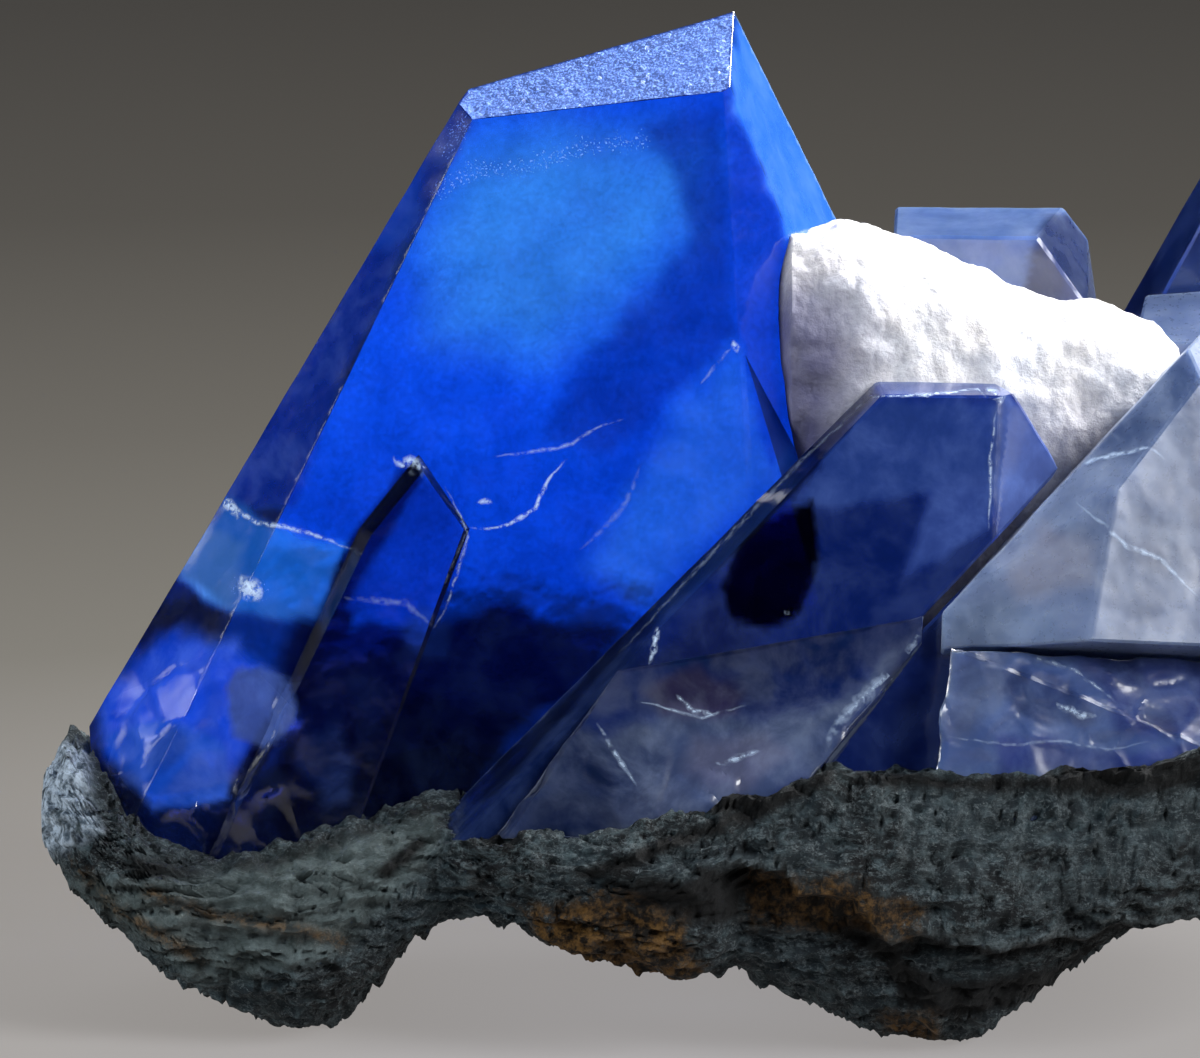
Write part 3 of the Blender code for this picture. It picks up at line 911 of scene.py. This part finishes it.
BLOCK_LAYERS = (
    (BLOCK_MILKY, (0.075, 0.115, 0.26), 22.0, 1.0),
    (((640, 690), (700, 665), (745, 690), (735, 712), (660, 716)), (0.12, 0.09, 0.2), 16.0, 0.7),
    (((690, 735), (770, 735), (790, 765), (740, 790), (690, 770)), (0.2, 0.21, 0.34), 22.0, 0.7),
    (((540, 720), (600, 735), (640, 780), (690, 850), (540, 890), (440, 860)), (0.02, 0.05, 0.18), 16.0,
      0.9),
    (((600, 800), (700, 780), (700, 850), (600, 860)), (0.1, 0.13, 0.24), 24.0, 0.7),
)
PALE_LAYERS = (
    (((1060, 440), (1200, 330), (1240, 330), (1240, 640), (1190, 590), (1130, 550), (1140, 470)),
      (0.06, 0.105, 0.235), 26.0, 0.9),
    (((1000, 560), (1040, 520), (1100, 540), (1100, 580), (1020, 600)), (0.34, 0.34, 0.42), 26.0, 0.6),
    (((930, 610), (1000, 600), (1060, 610), (1060, 640), (930, 640)), (0.16, 0.23, 0.38), 20.0, 0.7),
    (((1120, 560), (1200, 600), (1200, 640), (1120, 640)), (0.2, 0.26, 0.42), 20.0, 0.7),
)
GLASSY_LAYERS = (
    (((1060, 640), (1200, 650), (1240, 700), (1240, 740), (1120, 730), (1090, 680)), (0.03, 0.06, 0.3),
      18.0, 0.9),
    (((930, 640), (1000, 636), (1010, 700), (960, 740), (925, 700)), (0.16, 0.22, 0.42), 22.0, 0.7),
    (((1020, 660), (1070, 680), (1090, 720), (1040, 730), (1000, 690)), (0.03, 0.07, 0.26), 12.0, 0.8),
    (((1000, 740), (1100, 750), (1200, 745), (1200, 770), (1000, 775)), (0.05, 0.09, 0.44), 14.0, 0.8),
)
BACK_LEFT_LAYERS = (
    (BACK_LEFT_FRONT, (0.04, 0.08, 0.28), 10.0, 0.95),
)
BACK_LEFT_HAZE = (
    (BACK_LEFT_FRONT, 0.2, 10.0),
)
# The rock's front, in pixels: where its face is undercut, with a painted shade band under it and a painted
# highlight along its lip, and the rim in front of the crystals.
ROCK_LEDGE = (
    (640, 822), (661, 826), (690, 850), (715, 873), (738, 866), (784, 873), (799, 896), (845, 896),
    (891, 942), (944, 938), (1006, 954), (1059, 938), (1128, 927), (1200, 919), (1300, 915),
)
ROCK_RIM = (
    (400, 846), (440, 822), (507, 824), (592, 817), (650, 813), (702, 802), (773, 788), (830, 764),
    (880, 768), (930, 772), (1000, 770), (1060, 772), (1130, 765), (1200, 748), (1300, 745),
)
FERN_FIELD = ((820, 790), (1000, 780), (1200, 770), (1300, 800), (1300, 920), (1060, 930), (900, 880))
SILVER_CRUST = ((30, 740), (85, 745), (90, 800), (100, 830), (60, 850), (30, 850))
OLIVE_LOBE = ((60, 880), (190, 880), (435, 815), (440, 850), (330, 960), (200, 985))
OCHRE_LINES = (((150, 893), (200, 912), (280, 926), (344, 942)), ((60, 850), (110, 905), (200, 960)))
RUST_PATCHES = (
    ((520, 905), (600, 890), (690, 920), (700, 985), (600, 985), (540, 950)),
    ((745, 880), (830, 880), (918, 905), (915, 945), (840, 935), (745, 930)),
    ((883, 1020), (940, 1020), (937, 1060), (890, 1060)),
)
# Painted shade in the rock's hollows and recesses.
PAINTED_SHADE_HOLLOWS = (
    ((600, 880), (740, 880), (740, 930), (640, 915)),
    ((684, 790), (760, 762), (814, 766), (760, 812), (690, 812)),
    ((1060, 760), (1170, 760), (1170, 792), (1060, 790)),
    ((375, 873), (421, 835), (432, 845), (390, 880)),
    ((484, 826), (506, 826), (506, 846), (484, 846)),
    ((120, 868), (170, 880), (260, 872), (430, 812), (440, 800), (250, 862), (130, 850)),
    ((560, 872), (640, 850), (700, 826), (780, 790), (830, 766), (834, 782), (760, 818), (690, 846),
      (600, 880)),
    ((834, 770), (930, 776), (1060, 776), (1200, 754), (1200, 786), (1100, 800), (1040, 790), (900, 792)),
    ((690, 866), (760, 880), (800, 908), (850, 916), (900, 956), (960, 952), (890, 972), (790, 930),
      (700, 890)),
    ((880, 960), (960, 990), (1060, 975), (1130, 930), (1060, 1000), (960, 1030), (900, 1010)),
)
# Cracks and worn lines, and a painted highlight spot: piece, width in pixels, strength, line.
CRACKS_AND_HOT_SPOT = (
    ('main_crystal_look', 3.0, 0.9, ((469, 528), (489, 529), (510, 524), (535, 508), (543, 491),
      (553, 473), (568, 458))),
    ('main_crystal_look', 3.0, 0.35, ((492, 457), (522, 453), (558, 448), (573, 443), (596, 428),
      (625, 418))),
    ('main_crystal_look', 4.0, 0.9, ((477, 503), (485, 501), (493, 502))),
    ('main_crystal_look', 4.0, 0.14, ((640, 463), (632, 490), (622, 509), (600, 532), (579, 550))),
    ('main_crystal_look', 3.0, 0.3, ((735, 345), (727, 352), (718, 362), (700, 385))),
    ('main_crystal_look', 5.0, 0.9, ((732, 340), (738, 353))),
    ('main_crystal_look', 3.5, 0.8, ((205, 520), (227, 499), (242, 514), (257, 523), (273, 524),
      (309, 533), (354, 550))),
    ('main_crystal_look', 9.0, 0.9, ((216, 500), (228, 504), (240, 518))),
    # the next two lines paint a bright highlight, a hot spot, on the lower left window
    ('main_crystal_look', 15.0, 1.0, ((236, 586), (250, 589), (264, 593))),
    ('main_crystal_look', 11.0, 1.0, ((238, 577), (250, 588), (262, 600))),
    ('main_crystal_look', 5.0, 0.18, ((343, 598), (405, 603), (433, 626))),
    ('main_crystal_look', 6.0, 0.8, ((392, 457), (402, 466), (411, 459), (420, 468), (427, 466))),
    ('main_crystal_look', 2.5, 0.5, ((444, 486), (461, 517), (468, 537), (461, 561), (447, 606),
      (433, 629))),
    ('second_crystal_look', 3.0, 0.22, ((873, 394), (800, 462), (700, 566), (619, 654))),
    ('second_crystal_look', 2.5, 0.25, ((866, 385), (760, 482), (640, 604), (540, 706), (470, 786))),
    ('second_crystal_look', 4.5, 0.9, ((658, 626), (654, 646), (649, 665))),
    ('second_crystal_look', 3.0, 0.7, ((624, 677), (627, 690))),
    ('second_crystal_look', 4.0, 0.7, ((784, 610), (790, 614))),
    ('second_crystal_look', 8.0, 0.7, ((985, 388), (1000, 397), (997, 408))),
    ('second_crystal_look', 2.5, 0.6, ((996, 409), (991, 455), (989, 531))),
    ('second_crystal_look', 2.5, 0.7, ((870, 397), (932, 394), (978, 389), (987, 397))),
    ('cleaved_block_look', 4.0, 0.6, ((675, 695), (693, 710), (716, 716))),
    ('cleaved_block_look', 2.5, 0.4, ((634, 700), (703, 718), (746, 705))),
    ('cleaved_block_look', 3.5, 0.5, ((596, 723), (619, 759), (637, 787))),
    ('cleaved_block_look', 5.0, 0.6, ((715, 764), (728, 762), (760, 750))),
    ('cleaved_block_look', 9.0, 0.42, ((920, 626), (915, 644), (892, 672), (861, 700), (838, 721),
      (830, 739), (828, 754))),
    ('pale_crystal_look', 4.0, 0.6, ((1060, 478), (1092, 459), (1150, 448), (1166, 459))),
    ('pale_crystal_look', 3.5, 0.5, ((1074, 501), (1104, 524), (1127, 547), (1161, 558), (1184, 583),
      (1200, 599))),
    ('glassy_chunk_look', 3.0, 0.5, ((983, 646), (1029, 655), (1074, 670), (1100, 689), (1120, 705))),
    ('glassy_chunk_look', 6.0, 0.8, ((1055, 705), (1063, 707), (1084, 716), (1097, 714))),
    ('glassy_chunk_look', 2.5, 0.3, ((946, 737), (1015, 745), (1061, 741), (1107, 750), (1152, 741))),
)


def make_main_crystal(materials):
    bodies = [
        faceted_body(MAIN_FACES, 0.035),
        faceted_body(LOWER_GROWTH_FACES),
        faceted_body(STEP_FACES),
    ]
    body = joined("main crystal", bodies, materials)

    def length_at(edge):
        near = min((face.normal.y for face in edge.link_faces), default=0.0)
        top = max((face.normal.dot(facing(*TOP_FACE[1:])) for face in edge.link_faces), default=0.0)
        if top > 0.995:
            return 0.16
        return 0.26 if near < -0.25 else 0.6

    refine(body, length_at)
    points, normals = mesh_points(body)
    seen = front_view(points)
    shattered = soft_step(distance_inside(seen, SHATTERED) / 40.0 + 0.5)
    top = soft_step((normals @ np.array(facing(*TOP_FACE[1:])) - 0.93) / 0.06)
    window = soft_step(distance_inside(seen, WINDOW) / 14.0 + 0.5)
    shine = np.ones(len(points))
    for index, vert in enumerate(body.verts):
        point = vert.co
        lift = 0.02 * noise.noise(point * 0.8) + 0.006 * noise.noise(point * 2.6)
        if shattered[index] > 0.0:
            height, bright = shard(point, 1.5)
            lift += shattered[index] * height * 0.6
            shine[index] = 1.0 + (bright - 1.0) * shattered[index]
        lift += window[index] * 0.05 * scalloped(point, 1.6, 4.0)
        lift += top[index] * 0.05 * (noise.noise(point * 7.0) + 0.6 * noise.noise(point * 3.0))
        vert.co = point + vert.normal * lift
    made = finished_piece("main_crystal_look", body, materials, "main_crystal")
    # the tint carries the crystal's colour and the painted glow and shade of MAIN_LAYERS
    colour = tinted(points, normals, BLUE, (0.28, 0.55, 1.0), MAIN_LAYERS) * shine[:, None] ** 1.5
    colour += (np.array((0.02, 0.05, 0.30)) - colour) * top[:, None]
    store(made, "tint", colour)
    sugar = np.max([np.exp(-((distance_to_line(seen, line) / 16.0) ** 2)) for line in MAIN_SUGAR_AND_HOT_SPOT], axis=0)
    # frost on the top face and the sugary band, and a painted highlight at the hot spot
    store(made, "frost", 0.45 * top + 0.34 * sugar * (normals[:, 1] < 0.0))
    store(made, "dull", 0.35 * shattered)
    store(made, "haze", np.maximum(0.5 * top, masked(points, 0.05, MAIN_HAZE)))
    return made


def make_faceted(label, faces, materials, node, ground, back, layers=(),
                 edge_width=0.12, facet=0.0, facet_size=1.6, broken=0.0, length=0.3, haze=0.05, hazes=()):
    """A crystal with shell-shaped breaks (facet) and tilted shards (broken) of about facet_size."""
    body = faceted_body(faces, edge_width)

    def length_at(edge):
        near = min((face.normal.y for face in edge.link_faces), default=0.0)
        return length if near < -0.2 else max(length, 0.5)

    refine(body, length_at)
    points, normals = mesh_points(body)
    limits = depth_limit(body, 0.3)
    shine = np.ones(len(points))
    for index, vert in enumerate(body.verts):
        point = vert.co
        lift = 0.02 * noise.noise(point * 0.8) + 0.006 * noise.noise(point * 2.6)
        if facet:
            lift += facet * scalloped(point, facet_size, 2.0)
        if broken:
            height, bright = shard(point, facet_size, 3.0)
            lift += broken * (height - 0.05 * facet_size)
            shine[index] = bright
        vert.co = point + vert.normal * max(lift, -limits[index])
    made = finished_piece(label, body, materials, node)
    store(made, "tint", tinted(points, normals, ground, back, layers) * shine[:, None])
    store(made, "frost", np.zeros(len(points)))
    store(made, "haze", masked(points, haze, hazes))
    return made


def rim_lift(point):
    """Height that brings the front of the rock's top up to the rim seen in front of the crystals."""
    near = held_step((3.2 - point.y) / 3.0) * held_step((point.x + 5.5) / 2.0)
    if near == 0.0 or point.z < RIM_FOOT:
        return 0.0
    across = VIEW_MIDDLE[0] + point.x / PIXEL
    down = np.interp(across, [spot[0] for spot in ROCK_RIM], [spot[1] for spot in ROCK_RIM])
    down += 9.0 * noise.noise(Vector((point.x * 1.1, point.y * 0.6, 2.0)))
    along_up = (VIEW_MIDDLE[1] - down) * PIXEL - (point.y - AIM.y) * UPWARD.y
    highest = AIM.z + along_up / UPWARD.z
    return (min(highest, RIM_FOOT + (point.z - RIM_FOOT) * 2.0) - point.z) * near


def rock_relief(start, lean):
    forward = held_step((start.z - 5.0) / 1.2) * held_step((4.5 - start.x) / 3.0)
    forward *= held_step((start.x + 5.5) / 2.0) * held_step((3.2 - start.y) / 3.0)
    raised = Vector((0.0, -forward, rim_lift(start)))
    point = start + raised
    bumps = noise.fractal(point * 0.45, 0.9, 2.2, 3) * 0.38
    warp = point.z * 1.2 + 1.2 * noise.noise(point * 0.3) + 0.35 * noise.noise(point * 1.1)
    tooth = warp - math.floor(warp)
    strata = 0.20 * (tooth - 0.6) * abs(lean.y)
    along_beds = abs(noise.noise(Vector((point.x * 0.6, point.y * 0.6, point.z * 2.0))))
    ridges = 0.26 * (0.5 - along_beds * 2.0)
    flakes = 0.22 * noise.fractal(Vector((point.x * 1.4, point.y * 1.4, point.z * 3.2)), 0.55, 2.1, 5)
    split = abs(noise.noise(Vector((point.x * 0.35, point.y * 0.35, point.z * 1.6 + 7.0))))
    crack = -0.24 * max(0.0, 0.05 - split) / 0.05
    return lean * (bumps + strata + ridges + flakes + crack) + raised


def make_rock(material):
    body = sectioned_body(ROCK_SECTIONS, ROCK_SQUARENESS, rock_relief, 250, 380)
    points, normals = mesh_points(body)
    seen = front_view(points)
    ledge = np.interp(seen[:, 0], [spot[0] for spot in ROCK_LEDGE], [spot[1] for spot in ROCK_LEDGE])
    ledge += np.array([8.0 * noise.noise(Vector((x * 0.03, 1.0, 5.0))) for x in seen[:, 0]])
    near = soft_step((4.0 - points[:, 1]) / 3.0)
    right = soft_step((seen[:, 0] - 700.0) / 50.0)
    under = soft_step((seen[:, 1] - ledge) / 10.0) * near * right
    away = np.hypot(seen[:, 0] - 1170.0, 1.2 * (seen[:, 1] - 850.0))
    drift = np.array([
        noise.noise(Vector(point) * 0.5) + 0.4 * noise.noise(Vector(point) * 1.6)
        for point in points
    ])
    ferns = 0.5 + 0.5 * np.sin(away / 4.6 + 4.0 * drift)
    ferns *= soft_step(0.5 + distance_inside(seen, FERN_FIELD) / 40.0) * near
    for index, vert in enumerate(body.verts):
        vert.co.y += under[index] * 1.3
    made = finished_piece("matrix_rock_look", body, (material,), "matrix_rock", 60.0)
    push = 6.0 * wandering(points)
    rust = np.zeros(len(points))
    for outline in RUST_PATCHES:
        rust = np.maximum(rust, soft_step(distance_inside(seen + 2.0 * push, outline) / 22.0 + 0.5) * near)
    crust = soft_step(distance_inside(seen, SILVER_CRUST) / 20.0 + 0.5)
    # painted shade in the hollows and recesses
    shade = np.zeros(len(points))
    for outline in PAINTED_SHADE_HOLLOWS:
        shade = np.maximum(shade, soft_step(distance_inside(seen + push, outline) / 10.0 + 0.5) * near)
    for line in OCHRE_LINES:
        ochre = np.exp(-((distance_to_line(seen, line) / 7.0) ** 2)) * near
        rust = np.maximum(rust, 0.8 * ochre)
    olive = soft_step(distance_inside(seen, OLIVE_LOBE) / 26.0 + 0.5)
    store(made, "olive", olive)
    store(made, "rust", rust)
    store(made, "crust", crust)
    # painted shade: a dark band just under the ledge
    edge = np.abs(seen[:, 1] - ledge - 9.0)
    shade = np.maximum(shade, np.exp(-((edge / 9.0) ** 2)) * near * right)
    # painted highlight: a pale line along the ledge's lip
    rim = np.exp(-(((seen[:, 1] - ledge + 5.0) / 4.0) ** 2)) * near * right
    store(made, "pale_lines_and_lip_highlight", np.maximum(0.35 * ferns ** 3, 0.6 * rim))
    store(made, "shade", shade * 0.96)
    return made


def lump_relief(point, lean):
    bumps = noise.fractal(point * 0.55, 0.9, 2.2, 2) * 0.28
    near = noise.voronoi(point * 1.3)[0][0]
    small = noise.voronoi(point * 3.4)[0][0]
    return lean * (bumps + 0.15 * (0.45 - near * near) + 0.08 * (0.45 - small * small))


def make_lump(material):
    body = sectioned_body(LUMP_SECTIONS, LUMP_SQUARENESS, lump_relief, 190, 210)
    points, _ = mesh_points(body)
    made = finished_piece("natrolite_lump_look", body, (material,), "natrolite_lump", 60.0)
    # painted shade: darker at the left end, away from the light, and half as strong at the foot
    left = soft_step((9.4 - points[:, 0]) / 3.4) * soft_step((23.8 - points[:, 2]) / 2.5)
    foot = soft_step((19.6 - points[:, 2] + 0.12 * (points[:, 0] - 12.0)) / 2.4)
    store(made, "shade", np.maximum(left, 0.5 * foot))
    return made


def make_cracks_and_hot_spot(material):
    """Fine light cracks and worn lines, and a painted highlight spot, each laid on the near surface of its
    piece.
    """
    body = bmesh.new()
    fade = []
    eye = (AIM - LOOK * CAMERA_AWAY - FOOTPRINT_MIDDLE) * MM
    sideways = Vector((1.0, 0.0, 0.0))
    for piece, width, strength, line in CRACKS_AND_HOT_SPOT:
        corners = [Vector(corner) for corner in line]
        spots = []
        for start, end in zip(corners, corners[1:]):
            steps = max(2, int((end - start).length / 4.0))
            spots += [start.lerp(end, step / steps) for step in range(steps)]
        spots.append(corners[-1])
        rows = []
        for index, spot in enumerate(spots):
            share = index / (len(spots) - 1)
            run = spots[min(index + 1, len(spots) - 1)] - spots[max(index - 1, 0)]
            across = Vector((-run.y, run.x)).normalized()
            wander = 1.6 * noise.noise(Vector((spot.x * 0.09, spot.y * 0.09, width)))
            half = 0.9 * width * (0.35 + 0.65 * math.sin(math.pi * min(max(share, 0.06), 0.94)))
            half *= 1.0 + 0.6 * noise.noise(Vector((spot.x * 0.2, spot.y * 0.2, 3.0)))
            row = []
            for side in (-1.0, 0.0, 1.0):
                at = spot + across * (wander + side * half)
                ray = LOOK * CAMERA_AWAY
                ray += sideways * ((at.x - VIEW_MIDDLE[0]) * PIXEL)
                ray -= UPWARD * ((at.y - VIEW_MIDDLE[1]) * PIXEL)
                hit = surfaces[piece].ray_cast(eye, ray.normalized())[0]
                if hit:
                    row.append(hit - ray.normalized() * 0.03 * MM)
            if len(row) == 3:
                rows.append((row, strength * math.sin(math.pi * share) ** 0.5))
            elif rows:
                add_ribbon(body, rows, fade)
                rows = []
        add_ribbon(body, rows, fade)
    made = to_object("surface_cracks_and_hot_spot", body, (material,))
    specimen.objects.link(made)
    store(made, "fade", np.array(fade))
    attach(made, "root")


def add_ribbon(body, rows, fade):
    """A strip of faces that fades out at its sides."""
    last = None
    for row, level in rows:
        new = [body.verts.new(corner) for corner in row]
        fade.extend([0.0, level, 0.0])
        if last and (new[0].co - last[0].co).length < 0.6 * MM:
            body.faces.new((last[0], last[1], new[1], new[0]))
            body.faces.new((last[1], last[2], new[2], new[1]))
        last = new


def make_floor():
    body = bmesh.new()
    bmesh.ops.create_circle(body, cap_ends=True, segments=128, radius=1.6)
    floor = to_object("pale_floor", body)
    made = Finish("floor paper with painted light pool")
    here = made.node("ShaderNodeTexCoord", output="Object")
    away = made.node("ShaderNodeVectorMath", {"operation": "LENGTH"}, {0: here}, "Value")
    # Painted light pool: the paper is lighter near the middle and darker farther out.
    stops = (
        (0.0, (0.200, 0.198, 0.212)),
        (0.10, (0.168, 0.160, 0.152)),
        (0.25, (0.088, 0.083, 0.071)),
        (0.42, (0.052, 0.048, 0.040)),
        (0.62, (0.023, 0.0205, 0.0163)),
        (0.85, (0.0110, 0.0095, 0.0075)),
    )
    colour = made.node("ShaderNodeValToRGB", {"stops": stops}, {0: away * (1.0 / 0.25)})
    floor.data.materials.append(made.done(made.principled({"Base Color": colour, "Roughness": 0.8})))
    return floor


def add_light(name, at, aim, size, power, colour, size_y=None):
    """A rectangular light in millimetres that the camera doesn't see."""
    data = bpy.data.lights.new(name, "AREA")
    data.shape = "RECTANGLE"
    data.size = size * MM
    data.size_y = (size_y or size) * MM
    data.energy = power
    data.color = colour
    made = bpy.data.objects.new(name, data)
    made.location = Vector(at) * MM
    made.rotation_euler = (Vector(aim) - Vector(at)).to_track_quat("-Z", "Y").to_euler()
    made.visible_camera = False
    bpy.context.scene.collection.objects.link(made)
    return made


def add_camera():
    data = bpy.data.cameras.new("front camera")
    data.sensor_width = 36.0
    data.lens = 500.0
    data.clip_start = 0.05
    data.clip_end = 10.0
    camera = bpy.data.objects.new("front camera", data)
    camera.location = (AIM - LOOK * CAMERA_AWAY - FOOTPRINT_MIDDLE) * MM
    camera.rotation_euler = LOOK.to_track_quat("-Z", "Y").to_euler()
    bpy.context.scene.collection.objects.link(camera)
    bpy.context.scene.camera = camera


def light_scene(floor):
    world = bpy.data.worlds.new("soft studio")
    world.use_nodes = True
    world.node_tree.nodes["Background"].inputs["Color"].default_value = (0.70, 0.78, 1.0, 1.0)
    world.node_tree.nodes["Background"].inputs["Strength"].default_value = 0.34
    world.cycles_visibility.glossy = False
    world.cycles_visibility.transmission = False
    bpy.context.scene.world = world
    key = add_light("back right softbox", (210, 110, 240), (0, 0, 12), 170, 4.0, (1.0, 0.99, 0.97))
    add_light("front right softbox", (330, -260, 260), (0, 0, 12), 240, 2.4, (0.97, 0.98, 1.0))
    left = add_light("left softbox", (-300, -90, 110), (-8, 0, 9), 130, 0.85, (0.93, 0.97, 1.0))
    add_light("glow card", (2, 50, 1.2), (2, 50, 80), 90, 0.021, (0.95, 0.98, 1.0), 55)
    wash = add_light("floor wash", (-100, 100, 700), (-100, 100, 0), 500, 9.0, (1.0, 0.97, 0.92))
    only_floor = bpy.data.collections.new("floor alone")
    only_floor.objects.link(floor)
    wash.light_linking.receiver_collection = only_floor
    wash.light_linking.blocker_collection = only_floor
    left.visible_glossy = False
    for lamp in (key, left):
        lamp.light_linking.receiver_collection = specimen


def build():
    noise.seed_set(11)
    add_camera()
    light_scene(make_floor())
    deep_blue = (
        crystal_finish("deep blue benitoite", (0.35, 0.70, 0.98), 60.0, 0.08, (0.15, 0.28, 0.82), -0.10),
        worn_edge_finish("deep blue edges", 0.12, (0.50, 0.68, 1.0)),
    )
    navy = (
        crystal_finish("navy benitoite", (0.30, 0.55, 0.92), 90.0, 0.10, (0.15, 0.25, 0.62), -0.14),
        worn_edge_finish("navy edges", 0.12, (0.45, 0.55, 0.75)),
    )
    grey_blue = (
        crystal_finish("grey blue benitoite", (0.45, 0.62, 0.95), 60.0, 0.10,
                       (0.40, 0.48, 0.66), -0.10, 0.6, 0.28),
        worn_edge_finish("grey blue edges", 0.15, (0.55, 0.62, 0.75)),
    )
    pale = (
        crystal_finish("pale benitoite", (0.72, 0.82, 0.96), 40.0, 0.25, (0.44, 0.52, 0.66), -0.60, 0.8, 0.6),
        worn_edge_finish("pale edges", 0.15, (0.70, 0.76, 0.85)),
    )
    glassy = (
        crystal_finish("glassy benitoite", (0.45, 0.62, 0.95), 40.0, 0.22,
                       (0.34, 0.46, 0.74), -0.14, 0.6, 0.42),
        worn_edge_finish("glassy edges", 0.12, (0.60, 0.68, 0.85)),
    )
    make_main_crystal(deep_blue)
    make_faceted("second_crystal_look", SECOND_FACES, navy, "second_crystal",
                 (0.010, 0.05, 0.40), (0.22, 0.32, 0.66), SECOND_LAYERS,
                 edge_width=0.14, haze=0.22, hazes=SECOND_HAZE)
    make_faceted("cleaved_block_look", CLEAVED_BLOCK_FACES, grey_blue, "cleaved_block",
                 (0.012, 0.05, 0.33), (0.26, 0.34, 0.56), BLOCK_LAYERS, edge_width=0.02,
                 facet=0.08, facet_size=1.6, broken=0.5, length=0.2, haze=0.25, hazes=BLOCK_HAZE)
    make_faceted("dark_wedge_look", DARK_WEDGE_FACES, navy, "dark_wedge",
                 (0.018, 0.055, 0.36), (0.10, 0.18, 0.5), haze=0.28)
    make_faceted("pale_crystal_look", PALE_FACES, pale, "pale_crystal",
                 (0.17, 0.23, 0.39), (0.36, 0.43, 0.60), PALE_LAYERS,
                 facet_size=2.8, broken=0.09, length=0.2, haze=0.6)
    make_faceted("glassy_chunk_look", GLASSY_FACES, glassy, "glassy_chunk",
                 (0.13, 0.22, 0.54), (0.24, 0.34, 0.60), GLASSY_LAYERS,
                 facet=0.14, facet_size=1.4, broken=0.42, length=0.16, haze=0.4)
    make_faceted("back_crystal_left_look", BACK_LEFT_FACES, grey_blue, "back_crystal_left",
                 (0.16, 0.27, 0.60), (0.18, 0.30, 0.66), BACK_LEFT_LAYERS,
                 haze=0.35, hazes=BACK_LEFT_HAZE)
    make_faceted("back_crystal_right_look", BACK_RIGHT_FACES, navy, "back_crystal_right",
                 (0.035, 0.09, 0.40), (0.05, 0.10, 0.36), haze=0.25)
    make_faceted("back_crystal_low_look", BACK_LOW_FACES, pale, "back_crystal_low",
                 (0.12, 0.19, 0.40), (0.22, 0.32, 0.58), haze=0.4)
    make_cracks_and_hot_spot(crack_and_highlight_finish())
    make_lump(natrolite_finish())
    make_rock(schist_finish())
    bpy.context.scene.view_settings.view_transform = "Standard"


build()
bpy.context.view_layer.update()
